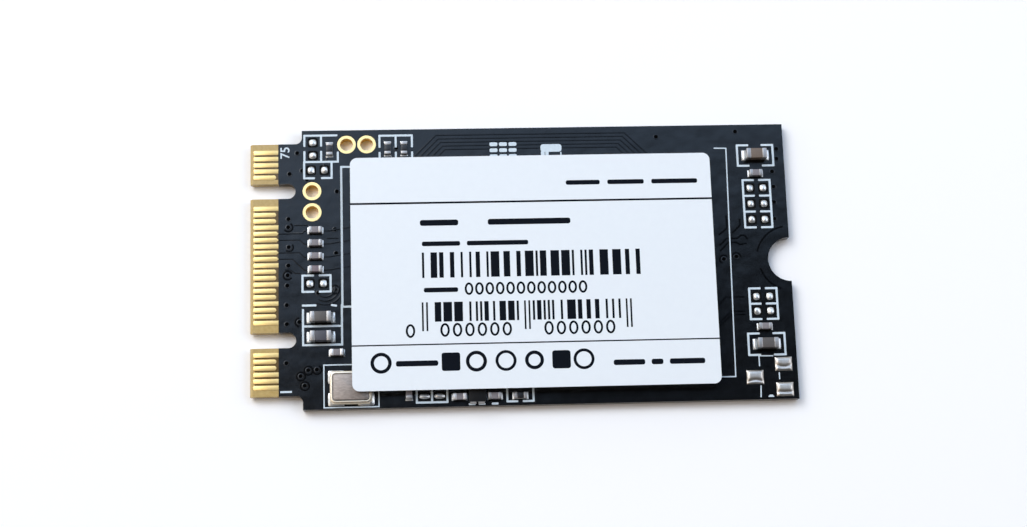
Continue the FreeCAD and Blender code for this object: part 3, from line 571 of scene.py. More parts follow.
# %% [markdown]
# Solder flows while it is liquid and freezes in smooth curves. A coarse cage under a subdivision surface
# gives such curves from a handful of faces. The cage's foot is creased, and is the only edge that shades
# sharply, because solder keeps to the outline of its land.

# %% Cages of solder
SOLDER_LEVELS = 2
FOOT_CREASE = 1.0


def on_board(vert):
    """Whether a vertex lies on the board's face."""
    return abs(vert.co.z - FACE) < SAME_PLACE


def crease_foot(shape, corner_crease):
    """Crease every edge that lies on the board, and hold its corners by a share."""
    along = shape.edges.layers.float.new("crease_edge")
    corner = shape.verts.layers.float.new("crease_vert")
    for edge in shape.edges:
        if all(on_board(vert) for vert in edge.verts):
            edge[along] = FOOT_CREASE
    for vert in shape.verts:
        if on_board(vert):
            vert[corner] = corner_crease


def finish_solder(name, shape, node, corner_crease, finish=SOLDER):
    """Crease a cage's foot and round the rest by subdivision, with a sharp edge only at the foot."""
    crease_foot(shape, corner_crease)
    bmesh.ops.recalc_face_normals(shape, faces=shape.faces)
    piece = finish_piece(name, shape, [finish], [node])
    mesh = piece.data
    mesh.shade_smooth()
    for edge in mesh.edges:
        heights = [mesh.vertices[end].co.z / MM for end in edge.vertices]
        edge.use_edge_sharp = all(abs(height - FACE) < SAME_PLACE for height in heights)
    rounding = piece.modifiers.new("flowed", "SUBSURF")
    rounding.levels = SOLDER_LEVELS
    rounding.render_levels = SOLDER_LEVELS


print(f"cages are subdivided {SOLDER_LEVELS} times")

# %% [markdown]
# At a chip's end the solder climbs the metal: steep at the cap, hollow in the middle, and with a rounded
# toe at the edge of the land that catches the light. The cage is that profile, drawn once as a few upright
# faces and extruded across the land. It runs away from the cap that it touches, and starts a little inside
# it.

# %% Solder at the chips' ends
CLIMB_PROFILE = ((0.0, 1.0), (0.35, 0.26), (0.7, 0.10), (1.0, 0.18))
CLIMB_INTO_CAP = 0.05
CLIMB_CORNER_CREASE = 0.5
CAP_BOXES = [box for chip in CHIPS for box in solids_mm(f"{chip}_terminals")]


def away_from_cap(low, high):
    """Which way a climb runs: away from the cap that it touches."""
    middle = (low + high) / 2
    cap_low, cap_high = min(CAP_BOXES, key=lambda box: ((box[0] + box[1]) / 2 - middle).length)
    away = middle - (cap_low + cap_high) / 2
    if abs(away.x) > abs(away.y):
        return Vector((math.copysign(1, away.x), 0, 0))
    return Vector((0, math.copysign(1, away.y), 0))


def verts_in(geometry):
    """The vertices among the parts that an operation made."""
    return [item for item in geometry if isinstance(item, bmesh.types.BMVert)]


def add_climb(shape, low, high, outward):
    """The cage of solder that climbs a chip's end, running outwards along one axis."""
    axis = 0 if outward.x else 1
    across = 1 - axis
    inner, outer = (low[axis], high[axis]) if outward[axis] > 0 else (high[axis], low[axis])
    inner -= outward[axis] * CLIMB_INTO_CAP
    climb = high.z - low.z
    rows = []
    for run, share in CLIMB_PROFILE:
        foot = low.copy()
        foot[axis] = inner + (outer - inner) * run
        rows.append((shape.verts.new(foot), shape.verts.new(foot + Vector((0, 0, climb * share)))))
    sides = [shape.faces.new((a[0], b[0], b[1], a[1])) for a, b in zip(rows, rows[1:])]
    made = bmesh.ops.extrude_face_region(shape, geom=sides)["geom"]
    width = Vector((0, 0, 0))
    width[across] = high[across] - low[across]
    bmesh.ops.translate(shape, vec=width, verts=verts_in(made))


climbs = bmesh.new()
for low, high in solids_mm("chip_solder_fillets"):
    add_climb(climbs, low, high, away_from_cap(low, high))
finish_solder("chip_solder", climbs, "chip_solder_fillets", CLIMB_CORNER_CREASE)

# %% [markdown]
# A bare land has no chip to climb, so its solder draws itself into a dome, from a cage with a small top. No
# two freeze alike, so each dome has its own height and leans its own way, drawn from a fixed seed.

# %% Domes on the bare lands
DOME_TOP_SHARE = 0.66
DOME_GAIN = 1.45
DOME_HEIGHTS = (0.75, 1.0)
DOME_LEAN = 0.13
DOME_CORNER_CREASE = 0.22
DOME_SEED = 4


def add_dome(shape, low, high, draw):
    """The cage of solder on a bare land, drawn in towards a top that leans a little."""
    size = high - low
    top = low.z + size.z * DOME_GAIN * draw.uniform(*DOME_HEIGHTS)
    verts = add_block(shape, low, (high.x, high.y, top))
    centre = (low + high) / 2
    lean = [draw.uniform(-DOME_LEAN, DOME_LEAN) * size[axis] for axis in (0, 1)]
    for vert in verts:
        if not on_board(vert):
            for axis in (0, 1):
                vert.co[axis] = centre[axis] + (vert.co[axis] - centre[axis]) * DOME_TOP_SHARE + lean[axis]


domes = bmesh.new()
dome_draw = random.Random(DOME_SEED)
for low, high in LANDS:
    add_dome(domes, low, high, dome_draw)
finish_solder("bare_land_solder", domes, "empty_land_solder", DOME_CORNER_CREASE)

# %% [markdown]
# The three wide lands of a transistor hold a flat pool each. A pool is a pillow with a dip along one side,
# and the dip bends differently in each. A grid is doubled by an extrusion, and its upper sheet is lifted.

# %% Pools on the wide lands
POOL_CELLS = 10
POOL_DIP = 0.75
POOL_DIP_PLACE = -0.45
POOL_DIP_REACH = 0.2
POOL_LIP = 0.01
POOL_BENDS = (-0.3, 0.1, 0.45)


def pool_height(across, along, bend):
    """Share of a pool's height at a place from -1 to 1 each way: a pillow with a bent dip."""
    pillow = ((1 - across ** 4) * (1 - along ** 4)) ** 0.5
    dip = POOL_DIP * math.exp(-((along - POOL_DIP_PLACE - bend * across ** 2) / POOL_DIP_REACH) ** 2)
    return pillow * (1 - dip)


def add_pool(shape, low, high, bend):
    """The cage of a wide pool of solder: a sheet over the land, doubled and lifted to a pillow."""
    half, centre = (high - low) / 2, (low + high) / 2
    place = Matrix.Translation((centre.x, centre.y, low.z)) @ Matrix.Diagonal((half.x, half.y, 1, 1))
    sheet = bmesh.ops.create_grid(
        shape, x_segments=POOL_CELLS, y_segments=POOL_CELLS, size=1, matrix=place)["verts"]
    faces = list(dict.fromkeys(face for vert in sheet for face in vert.link_faces))
    lifted = bmesh.ops.extrude_face_region(shape, geom=faces, use_keep_orig=True)["geom"]
    for vert in verts_in(lifted):
        across, along = (vert.co.x - centre.x) / half.x, (vert.co.y - centre.y) / half.y
        share = pool_height(min(1, max(-1, across)), min(1, max(-1, along)), bend)
        vert.co.z += POOL_LIP + (high.z - low.z) * share


pools = bmesh.new()
for (low, high), bend in zip(solids_mm("transistor_land_solder"), POOL_BENDS):
    add_pool(pools, low, high, bend)
finish_solder("transistor_land_pools", pools, "transistor_land_solder", FOOT_CREASE, POOLED_SOLDER)

# %% [markdown]
# The crystal sits in a ceramic tub that is closed by a welded nickel lid. The lid is pressed: a flat rim, a
# shallow groove and a raised plate with rounded corners. Insets make them all, each with its own depth.

# %% Crystal lid
LID_CORNER = 0.34
LID_RIM = 0.12
LID_RIM_SHARE = 0.55
LID_GROOVE = 0.025
LID_EDGE = 0.01
LID_EDGE_ANGLE = math.radians(30)

lid_low, lid_high = box_mm("crystal_lid")
rim_top = lid_low.z + (lid_high.z - lid_low.z) * LID_RIM_SHARE
lid = bmesh.new()
lid_verts = add_block(lid, lid_low, (lid_high.x, lid_high.y, rim_top))
soften(lid, edges_of(lid_verts, upright), LID_CORNER, segments=4)
top = max(lid.faces, key=lambda face: face.calc_center_median().z)
seam = bmesh.ops.inset_region(lid, faces=[top], thickness=LID_RIM, depth=0, use_even_offset=True)["faces"]
for face in seam:
    face.material_index = 1
for depth in (-LID_GROOVE, LID_GROOVE, lid_high.z - rim_top):
    bmesh.ops.inset_region(lid, faces=[top], thickness=LID_GROOVE, depth=depth, use_even_offset=True)
lid_rims = [e for e in lid.edges if e.calc_face_angle(0) > LID_EDGE_ANGLE and not upright(e)]
soften(lid, lid_rims, LID_EDGE, segments=2)
bmesh.ops.recalc_face_normals(lid, faces=lid.faces)
finish_piece("pressed_crystal_lid", lid, [LID, SEAM], ["crystal_lid"])

# %% [markdown]
# The tub stands on four lands, and their solder wraps its corners in small bright beads. Each bead is a
# cage that runs on into the tub, so only its sloping outer sides are seen. The regulator is a plain
# moulding with soft edges.

# %% Solder at the crystal's corners, and the regulator
BEAD_PAST_SIDE = 0.12
BEAD_ALONG_SIDE = 1.1
BEAD_TOP_SHARE = 0.5
BEAD_CORNER_CREASE = 0.5
REGULATOR_ROUND = 0.08

tub_low, tub_high = box_mm("crystal_base")
tub_middle = (tub_low + tub_high) / 2
beads = bmesh.new()
for low, high in solids_mm("crystal_solder_joints"):
    if (low.x + high.x) / 2 < tub_middle.x:
        high.x = tub_low.x + BEAD_ALONG_SIDE
    else:
        low.x = tub_high.x - BEAD_ALONG_SIDE
    if (low.y + high.y) / 2 < tub_middle.y:
        low.y = tub_low.y - BEAD_PAST_SIDE
    else:
        high.y = tub_high.y + BEAD_PAST_SIDE
    verts = add_block(beads, low, high)
    bmesh.ops.scale(
        beads, vec=(BEAD_TOP_SHARE, BEAD_TOP_SHARE, 1), space=Matrix.Translation(-(low + high) / 2),
        verts=[vert for vert in verts if not on_board(vert)])
finish_solder("crystal_corner_solder", beads, "crystal_solder_joints", BEAD_CORNER_CREASE)

regulator = bmesh.new()
add_soft_block(regulator, *box_mm("regulator_chip"), REGULATOR_ROUND)
finish_piece("regulator_moulding", regulator, [REGULATOR], ["regulator_chip"])

# %% [markdown]
# Copper tracks show through the mask as low ridges: dark lines where they lie alone, and faint ones in a
# bus. A route only needs corner points, which lie on forty-five degree turns as on a real board, and arcs
# round the screw notch, a loop and some of the vias. Tracks that lead to a contact or a chip take their
# ends from it.

# %% Routes of the faint tracks
TRACK_PITCH = 0.29
BUS_STAGGER = (1.6, 0.6)
ELBOW_BEFORE_CHIP = 0.35
RUN_AFTER_CHIP = 0.6
DIVE_RISE = 0.25
DIVE_SHORT = 0.1
LEFT_LOOP = (-15.25, -1.55)
LEFT_LOOP_RADII = (0.75, 1.05, 1.35)
LEFT_LOOP_SPAN = (-120, 8)
UPPER_BUS = (5, 10.5, -8.6, 8.4)


def arc(centre, radius, start, end, steps=14):
    """Points on part of a circle, with its angles in degrees."""
    turns = [math.radians(start + (end - start) * step / steps) for step in range(steps + 1)]
    return [(centre[0] + radius * math.cos(t), centre[1] + radius * math.sin(t)) for t in turns]


def bus_routes(count, first_y, start_x, end_x, edge_y):
    """Parallel tracks that rise from an edge, run along the board and dive back."""
    routes = []
    for lane in range(count):
        y = first_y - lane * TRACK_PITCH
        rise = y - edge_y
        left = start_x + lane * TRACK_PITCH * BUS_STAGGER[0]
        right = end_x - lane * TRACK_PITCH * BUS_STAGGER[1]
        routes.append([(left, edge_y), (left + rise, y), (right, y), (right + rise, edge_y)])
    return routes


def line_routes():
    """Signal tracks from the pointed contacts to the line capacitors, and on under the label."""
    routes = []
    for order, number in enumerate(sorted(POINTED_CONTACTS, reverse=True)):
        low, high = box_mm(f"line_capacitor_{order + 1}_terminals")
        contact_y = (number - MIDDLE_CONTACT) * CONTACT_STEP
        chip_y = (low.y + high.y) / 2
        turn = abs(contact_y - chip_y)
        elbow = low.x - ELBOW_BEFORE_CHIP
        routes.append([
            (CONTACT_STRIP_END, contact_y), (elbow - turn, contact_y), (elbow, chip_y), (low.x, chip_y)])
        routes.append([
            (high.x, chip_y), (high.x + RUN_AFTER_CHIP, chip_y),
            (LABEL_LOW.x - DIVE_SHORT, chip_y + DIVE_RISE)])
    return routes


faint_routes = bus_routes(*UPPER_BUS, LABEL_HIGH.y)
faint_routes += line_routes()
faint_routes += [arc(LEFT_LOOP, radius, *LEFT_LOOP_SPAN) for radius in LEFT_LOOP_RADII]
faint_routes += [
    [(-17.63, 3.41), (-16.55, 3.41)],
    [(-15.09, 2.34), (-14.20, 2.34)],
    [(-18.33, -0.09), (-17.90, -0.09), (-17.55, -0.38), (-17.13, -0.38)],
    [(-16.7, 7.78), (-16.97, 7.78)],
    [(-14.9, 9.0), (-15.3, 8.2), (-15.3, 7.9)],
]
print(f"{len(faint_routes)} faint routes")

# %% Routes of the dark tracks
NOTCH_CENTRE = (BOARD_HIGH.x, 0.0)
NOTCH_ARCS = ((2.67, 99, 166), (2.48, 196, 250))
BUSES_BELOW = ((6, -6.4, -15.0, 14.5, -8.6), (4, 5.2, -13.5, 9.0, 3.6))
RING_RADIUS = 0.33
RINGED_VIAS = {
    (-18.07, 3.24): (210, 420), (-18.03, 1.66): (230, 400), (-18.13, -0.56): (20, 330),
    (-14.50, -1.74): (0, 360), (-17.24, -4.23): (90, 270), (-16.59, -7.98): (0, 360),
    (-15.93, -7.94): (150, 420), (-17.16, -8.42): (0, 360), (-16.86, -9.16): (30, 380),
    (15.76, 0.08): (40, 250), (16.75, 0.26): (0, 180),
}
dark_routes = [arc(NOTCH_CENTRE, *sweep) for sweep in NOTCH_ARCS]
dark_routes += [
    [(15.47, 2.05), (16.13, 2.56), (16.13, 3.6)],
    [(15.50, 1.21), (16.04, 1.75), (16.90, 1.75), (17.20, 1.98), (17.50, 1.98), (17.74, 1.65)],
    [(15.48, 0.73), (16.18, 1.43), (16.80, 1.43), (17.10, 1.26), (17.64, 1.33)],
    [(16.51, 2.16), (17.18, 2.79), (17.18, 3.3)],
    [(14.9, -3.8), (15.7, -2.93), (17.2, -2.93)],
    [(14.9, -5.1), (16.1, -4.05), (17.2, -4.05)],
    [(14.9, -5.4), (16.1, -4.32), (17.2, -4.32)],
]
dark_routes += [arc(place, RING_RADIUS, *span) for place, span in RINGED_VIAS.items()]
routes_below = [route for bus in BUSES_BELOW for route in bus_routes(*bus)]
print(f"{len(dark_routes)} dark routes, and {len(routes_below)} on the underside")

# %% [markdown]
# A track is a curve with a round section. Turned into a mesh, it is squashed to a low oval tube that lies
# half sunk in the board's face, with its ends capped, and a route that closes on itself makes a ring.

# %% Tracks under the mask
TRACK_WIDTH = 0.15
TRACK_RISE = 0.008


def curve_mesh(curve):
    """The mesh of a curve or a text, which leaves no object behind."""
    holder = place_object(curve.name, curve)
    mesh = bpy.data.meshes.new_from_object(holder)
    bpy.data.objects.remove(holder)
    return mesh


def make_tracks(name, routes, face, finish):
    """Low oval ridges along routes, half sunk in one face of the board."""
    line = bpy.data.curves.new("routes", "CURVE")
    line.dimensions = "3D"
    line.bevel_depth = TRACK_WIDTH / 2
    line.bevel_resolution = 2
    line.use_fill_caps = True
    for route in routes:
        spline = line.splines.new("POLY")
        spline.use_cyclic_u = math.dist(route[0], route[-1]) < TRACK_WIDTH / 2
        if spline.use_cyclic_u:
            route = route[:-1]
        spline.points.add(len(route) - 1)
        for point, (x, y) in zip(spline.points, route):
            point.co = (x, y, 0, 1)
    mesh = curve_mesh(line)
    shape = bmesh.new()
    shape.from_mesh(mesh)
    bpy.data.meshes.remove(mesh)
    bmesh.ops.remove_doubles(shape, verts=shape.verts, dist=SAME_PLACE)
    bmesh.ops.scale(shape, vec=Vector((1, 1, TRACK_RISE / (TRACK_WIDTH / 2))), verts=shape.verts)
    bmesh.ops.translate(shape, vec=Vector((0, 0, face)), verts=shape.verts)
    bmesh.ops.recalc_face_normals(shape, faces=shape.faces)
    finish_piece(name, shape, [finish])


make_tracks("copper_tracks", dark_routes, FACE, COPPER_UNDER_MASK)
make_tracks("copper_bus", faint_routes, FACE, BUS_UNDER_MASK)
make_tracks("copper_tracks_below", routes_below, BOARD_LOW.z, COPPER_UNDER_MASK)

# %% [markdown]
# Vias join the tracks of the two faces. Under the mask each shows as a small ring that rises round a
# dimple. A section of four points is spun into the ring, and its two open edges are filled, the inner one
# painted near black as the shade in the hollow. The same places serve both faces.

# %% Vias
VIA_SECTION = [(0.23, -0.002), (0.21, 0.005), (0.17, 0.005), (0.15, 0.001)]
VIA_SEGMENTS = 14
VIA_MERGE = 1e-5
VIA_PLACES = [
    (-17.35, 9.19), (-17.95, 7.51), (-16.97, 7.76), (-16.60, 7.05), (-9.63, 9.50), (-14.29, 6.05),
    (-18.05, 3.89), (-14.46, 3.02), (-14.39, 1.12), (-18.07, 0.20), (-18.15, -1.37), (-15.78, -1.98),
    (-18.19, -2.90), (-18.19, -4.38), (-18.23, -7.40), (10.90, 10.10), (17.24, 10.43), (20.45, 8.95),
    (20.42, 8.14), (20.00, 7.10), (20.03, 5.86), (19.99, 4.60), (19.94, 3.26), *RINGED_VIAS,
]
# painted shade: the via's inner floor is near black, standing for the shade in its hollow
VIA_SHADE = speckled("painted_shade_in_via", "#020203", "#010101", 0.1, 0.9, 0.1, shine=0.05)


def add_via(shape, x, y, face, up):
    """A ring that rises round a dimple, spun from its section, with a floor painted dark as shade."""
    section = [shape.verts.new((x + r, y, face + up * z)) for r, z in VIA_SECTION]
    chain = [shape.edges.new(pair) for pair in zip(section, section[1:])]
    before = set(shape.verts) - set(section)
    bmesh.ops.spin(
        shape, geom=section + chain, cent=(x, y, face), axis=(0, 0, up), angle=math.tau, steps=VIA_SEGMENTS,
        use_merge=True)
    spun = [vert for vert in shape.verts if vert not in before]
    bmesh.ops.remove_doubles(shape, verts=spun, dist=VIA_MERGE)
    ring = [vert for vert in shape.verts if vert not in before]
    open_edges = [edge for edge in edges_of(ring) if edge.is_boundary]
    for disc in bmesh.ops.edgeloop_fill(shape, edges=open_edges)["faces"]:
        # the inner disc gets the painted shade
        if max((vert.co.xy - Vector((x, y))).length for vert in disc.verts) < VIA_SECTION[1][0]:
            disc.material_index = 1


for name, face, up in (("vias_above", FACE, 1), ("vias_below", BOARD_LOW.z, -1)):
    vias = bmesh.new()
    for x, y in VIA_PLACES:
        add_via(vias, x, y, face, up)
    bmesh.ops.recalc_face_normals(vias, faces=vias.faces)
    finish_piece(name, vias, [MASK_OVER_RING, VIA_SHADE])

# %% [markdown]
# The mask is left open a little wider than each land, so that a small shift in printing does no harm. In
# the opening lies bare laminate, matte, and painted near black as the shade round each land, so it frames
# each bright dome with a dark square.

# %% Mask openings round the bare lands
OPENING_MARGIN = Vector((0.11, 0.11, 0))
OPENING_CORNER = 0.18
OPENING_RISE = 0.003
# painted shade: the matte opening is coloured near black to stand for the shade round each land
OPENING_SHADE = speckled("matte_opening_with_painted_shade", "#090a0c", "#040506", 0.1, 0.8, 0.2, shine=0.12)
openings = bmesh.new()
for low, high in LANDS:
    upper = Vector((high.x, high.y, FACE + OPENING_RISE)) + OPENING_MARGIN
    verts = add_block(openings, Vector((low.x, low.y, FACE)) - OPENING_MARGIN, upper)
    soften(openings, edges_of(verts, upright), OPENING_CORNER, segments=3)
finish_piece("mask_openings", openings, [OPENING_SHADE])

# %% [markdown]
# The pale lines on the board are ink pushed through a screen. They box in the chips and bare lands so that
# an inspector can see what belongs where. Most boxes are ladders: rails down two sides and rungs across
# that are broken in the middle, where the chip lies. Their places follow from the pieces that they enclose.

# %% Printed lines
INK_WIDTH = 0.16
FINE_INK_WIDTH = 0.09
INK_ROUND = 0.3
INK_THICK = 0.028
INK_STEP = 0.0004
INK_LEVELS = 11
VERTS_PER_LEVEL = 12


def add_ink(shape, start, end, width=INK_WIDTH):
    """A straight line with rounded ends. Lines that cross differ a hair in height, so no faces coincide."""
    start, end = Vector(start), Vector(end)
    step = end - start
    level = len(shape.verts) // VERTS_PER_LEVEL % INK_LEVELS
    if abs(step.x) > abs(step.y):
        level += INK_LEVELS
    reach = step.length / 2 + width / 2
    verts = add_block(shape, (-reach, -width / 2, 0), (reach, width / 2, INK_THICK - level * INK_STEP))
    turn = Matrix.Rotation(math.atan2(step.y, step.x), 4, "Z")
    middle = (start + end) / 2
    bmesh.ops.transform(shape, matrix=Matrix.Translation((middle.x, middle.y, FACE)) @ turn, verts=verts)
    soften(shape, edges_of(verts, upright), width * INK_ROUND, segments=2)


def add_lines(shape, lines, width=INK_WIDTH):
    """Straight lines, one after another."""
    for start, end in lines:
        add_ink(shape, start, end, width)


def frame_round(boxes, margins):
    """Left, right, lower and upper side of a frame, each at its own margin from the boxes inside."""
    low, high = box_of(boxes)
    return low.x - margins[0], high.x + margins[1], low.y - margins[2], high.y + margins[3]


def add_ladder(shape, sides, gap, between=(), width=INK_WIDTH):
    """Two rails with rungs at both ends and between, each rung broken in the middle."""
    left, right, lower, upper = sides
    middle = (left + right) / 2
    add_lines(shape, [((x, lower), (x, upper)) for x in (left, right)], width)
    for y in (lower, *between, upper):
        add_lines(shape, (((left, y), (middle - gap / 2, y)), ((middle + gap / 2, y), (right, y))), width)


print(f"ink lines {INK_WIDTH} and {FINE_INK_WIDTH} mm wide")

# %% Ladders round bare lands and chips
LAND_GROUPS = (((15, 21), (0, 10)), ((15, 21), (-6, 0)), ((-18, -14), (-3, 0)))
LAND_MARGINS = (0.27, 0.27, 0.34, 0.34)
LAND_GAP = 0.5
CHIP_MARGINS = (0.62, 0.62, 0.44, 0.44)
CHIP_GAP = 1.15


def lands_in(x_range, y_range):
    """Bare lands whose middle lies in a range."""
    return [
        (low, high) for low, high in LANDS
        if x_range[0] < (low.x + high.x) / 2 < x_range[1] and y_range[0] < (low.y + high.y) / 2 < y_range[1]]


def between_rows(boxes):
    """Places half-way between rows of lands."""
    rows = sorted({round((low.y + high.y) / 2, 3) for low, high in boxes})
    return [(a + b) / 2 for a, b in zip(rows, rows[1:])]


ink = bmesh.new()
for group in LAND_GROUPS:
    boxes = lands_in(*group)
    add_ladder(ink, frame_round(boxes, LAND_MARGINS), LAND_GAP, between_rows(boxes))
for chip in ("supply_capacitor_3", "supply_capacitor_4"):
    add_ladder(ink, frame_round([box_mm(f"{chip}_terminals")], CHIP_MARGINS), CHIP_GAP)
print(f"{len(LAND_GROUPS)} ladders round lands and two round chips")

# %% Boxes round the left supply capacitors and the crystal
SUPPLY_MARGINS = (0.57, 0.8, 0.2, 0.58)
MIDDLE_RISE = 0.1
CORNER_GAP = 0.35
CORNER_DASH = 0.95
SLANT_START, SLANT_END, SLANT_DROP = 0.75, 0.45, 0.05
CRYSTAL_MARGINS = (0.46, 0.49, 0.22, 0.55)

supply_low, supply_high = supply = box_of([box_mm(f"supply_capacitor_{n}_terminals") for n in (1, 2)])
left, right, lower, upper = frame_round([supply], SUPPLY_MARGINS)
between = (supply_low.y + supply_high.y) / 2 + MIDDLE_RISE
add_lines(ink, (
    ((left, upper - CORNER_GAP), (left, lower)), ((left, upper), (left + CORNER_DASH, upper)),
    ((left, between), (right, between)), ((left, lower), (right, lower)), ((right, upper), (right, lower)),
    ((right - SLANT_START, upper), (right - SLANT_END, upper - SLANT_DROP))))
add_ladder(ink, frame_round([(tub_low, tub_high)], CRYSTAL_MARGINS), 0.0, width=FINE_INK_WIDTH)
print("boxes round two supply capacitors and the crystal")

# %% Columns in the upper corner and over the resistors
COLUMN_BREAK = 0.5
UNDER_LABEL = 0.2
STUB = 0.75
CORNER_LANDS = ((-18, -15.9), (8.5, 11))
CORNER_MARGINS = (0.0, 0.0, 0.24, 0.29)
CORNER_STUB = 0.74
CORNER_SHORT = 0.1
SECOND_LANDS = ((-17, -15), (7, 8.5))
SECOND_MARGINS = (0.25, 0.27, 0.34, 0.0)
PULL_UP_ABOVE = 0.58
PULL_UP_WIDTH = 0.51


def add_columns(shape, columns, top, bottom, gap):
    """Upright lines that hang from a top line, each broken half-way where a gap is given."""
    add_ink(shape, (columns[0], top), (columns[-1], top))
    middle = (top + bottom) / 2
    for x in columns:
        if gap:
            add_lines(shape, (((x, top), (x, middle + gap / 2)), ((x, middle - gap / 2), (x, bottom))))
        else:
            add_ink(shape, (x, top), (x, bottom))


left, right, bottom, top = frame_round(lands_in(*CORNER_LANDS), CORNER_MARGINS)
pull_low, pull_high = box_mm("pull_up_resistor_1_terminals")
column_step = (pull_low.x + pull_high.x - left - right) / 2
columns = [(left + right) / 2 + column_step * (n - 0.5) for n in range(3)]
add_columns(ink, columns[:2], top, bottom, COLUMN_BREAK)
add_lines(ink, (
    ((columns[1], top), (columns[2] - CORNER_SHORT, top)),
    ((columns[2], bottom), (columns[2], bottom + CORNER_STUB)),
    ((columns[0], bottom), (columns[2], bottom))))
left, right, foot, _ = frame_round(lands_in(*SECOND_LANDS), SECOND_MARGINS)
add_lines(ink, (
    ((left, bottom), (left, foot)), ((right, bottom), (right, foot)),
    ((left, foot), (left + STUB, foot)), ((right - STUB, foot), (right, foot))))

pair_low, pair_high = box_of([box_mm(f"pull_up_resistor_{n}_terminals") for n in (2, 3)])
pair_step = pair_high.x - pair_low.x - PULL_UP_WIDTH
pair_columns = [(pair_low.x + pair_high.x) / 2 + pair_step * n for n in (-1, 0, 1)]
add_columns(ink, pair_columns, pair_high.y + PULL_UP_ABOVE, LABEL_HIGH.y - UNDER_LABEL, COLUMN_BREAK)
print(f"columns {column_step:.2f} mm apart in the corner and {pair_step:.2f} mm apart over the resistors")

# %% Row along the lower side
CELL_LANDS = ((-9, -6), (-10.5, -9.8))
CELL_FROM_EDGE = 0.36
ROW_MARGINS = (0.5, 0.5, 0.0, 0.0)
ROW_FROM_EDGE = 0.3
DASH_FROM_EDGE = 0.16
DASH_REACH = 0.18
FIRST_DASH, SECOND_DASH, THIRD_DASH = 0.25, -0.3, 0.7

row_lands = sorted(lands_in(*CELL_LANDS), key=lambda box: box[0].x)
row_middles = [(low.x + high.x) / 2 for low, high in row_lands]
cell_width = row_middles[1] - row_middles[0]
cells = [row_middles[0] + cell_width * (n - 0.5) for n in range(3)]
label_side = LABEL_LOW.y + UNDER_LABEL
add_columns(ink, cells, BOARD_LOW.y + CELL_FROM_EDGE, label_side, 0)
left, right, _, _ = frame_round([box_mm("edge_resistor_terminals")], ROW_MARGINS)
foot = BOARD_LOW.y + ROW_FROM_EDGE
for x, stub in ((left, STUB), (right, -STUB)):
    add_lines(ink, (((x, foot), (x, label_side)), ((x, foot), (x + stub, foot))))
reg_low, reg_high = box_mm("regulator_chip")
dash_y = BOARD_LOW.y + DASH_FROM_EDGE
for x in (reg_low.x + FIRST_DASH, reg_high.x + SECOND_DASH, reg_high.x + THIRD_DASH):
    add_ink(ink, (x - DASH_REACH, dash_y), (x + DASH_REACH, dash_y))
print(f"cells {cell_width:.2f} mm wide, a bracket and three dashes")

# %% Long brackets, transistor outline and plain marks
CONTROL_MARGINS = (0.85, 0.0, 0.56, 0.56)
BRACKET = [(15.50, 9.09), (16.42, 9.07), (16.15, -9.19), (14.7, -9.18)]
TRANSISTOR_LINES = [
    ((18.05, -7.61), (19.12, -7.63)), ((18.05, -7.61), (18.05, -8.38)), ((18.07, -9.96), (18.02, -10.80)),
    ((19.55, -8.97), (19.55, -9.44)), ((18.65, -10.78), (19.0, -10.78)), ((18.72, -10.70), (18.92, -10.70)),
]
BLOCK_LEFT, BLOCK_RIGHT, BLOCK_TOP = 1.70, 3.36, 9.62
BLOCK_BAR = 0.62
BLOCK_LEGS = ((BLOCK_LEFT + 0.17, 0.30), (BLOCK_LEFT + 0.50, 0.26), (BLOCK_RIGHT - 0.06, 0.10))
BLOCK_LEG_DROP = 0.70
MARK_COLUMNS = (-2.0, -1.25, -0.5)
MARK_ROWS = (9.68, 9.19, 8.70)
MARK_REACH = 0.16
MARK_WIDTH = 0.3

left, _, lower, upper = frame_round([box_mm("controller_chip")], CONTROL_MARGINS)
inner = LABEL_LOW.x + UNDER_LABEL
add_lines(ink, (
    ((left, upper), (left, lower)), ((left, upper), (inner, upper)), ((left, lower), (inner, lower))))
add_lines(ink, [*zip(BRACKET, BRACKET[1:]), *TRANSISTOR_LINES], FINE_INK_WIDTH)
bar_y = BLOCK_TOP - BLOCK_BAR / 2
add_ink(ink, (BLOCK_LEFT + BLOCK_BAR / 2, bar_y), (BLOCK_RIGHT - BLOCK_BAR / 2, bar_y), BLOCK_BAR)
for x, width in BLOCK_LEGS:
    add_ink(ink, (x, BLOCK_TOP - BLOCK_LEG_DROP), (x, LABEL_HIGH.y), width)
marks = [((x - MARK_REACH, y), (x + MARK_REACH, y)) for x in MARK_COLUMNS for y in MARK_ROWS]
add_lines(ink, marks, MARK_WIDTH)
print(f"brackets, transistor outline, a block and {len(marks)} plain marks")

# %% [markdown]
# The first and last contact positions are numbered on the board, as on any such card. A text curve makes
# the digits. It is turned into a mesh before it is placed, so the finished piece still sits at the origin.

# %% Contact numbers
DIGIT_SPREAD = 0.012
DIGIT_MERGE = 1e-5
CONTACT_NUMBERS = (("75", (-18.27, 9.22), 1.0), ("1", (-18.22, -9.60), 1.26))


def add_digits(shape, text, middle, size):
    """Printed digits, turned to read along the contact edge."""
    digits = bpy.data.curves.new("digits", "FONT")
    digits.body = text
    digits.size = size
    digits.align_x = "CENTER"
    digits.align_y = "CENTER"
    digits.extrude = INK_THICK / 2
    digits.resolution_u = 3
    digits.offset = DIGIT_SPREAD
    mesh = curve_mesh(digits)
    mesh.transform(Matrix.Translation((*middle, FACE + INK_THICK / 2)) @ Matrix.Rotation(math.pi / 2, 4, "Z"))
    first = len(shape.verts)
    shape.from_mesh(mesh)
    shape.verts.ensure_lookup_table()
    bpy.data.meshes.remove(mesh)
    bmesh.ops.remove_doubles(shape, verts=shape.verts[first:], dist=DIGIT_MERGE)


for text, middle, size in CONTACT_NUMBERS:
    add_digits(ink, text, middle, size)
finish_piece("board_print", ink, [BOARD_INK])

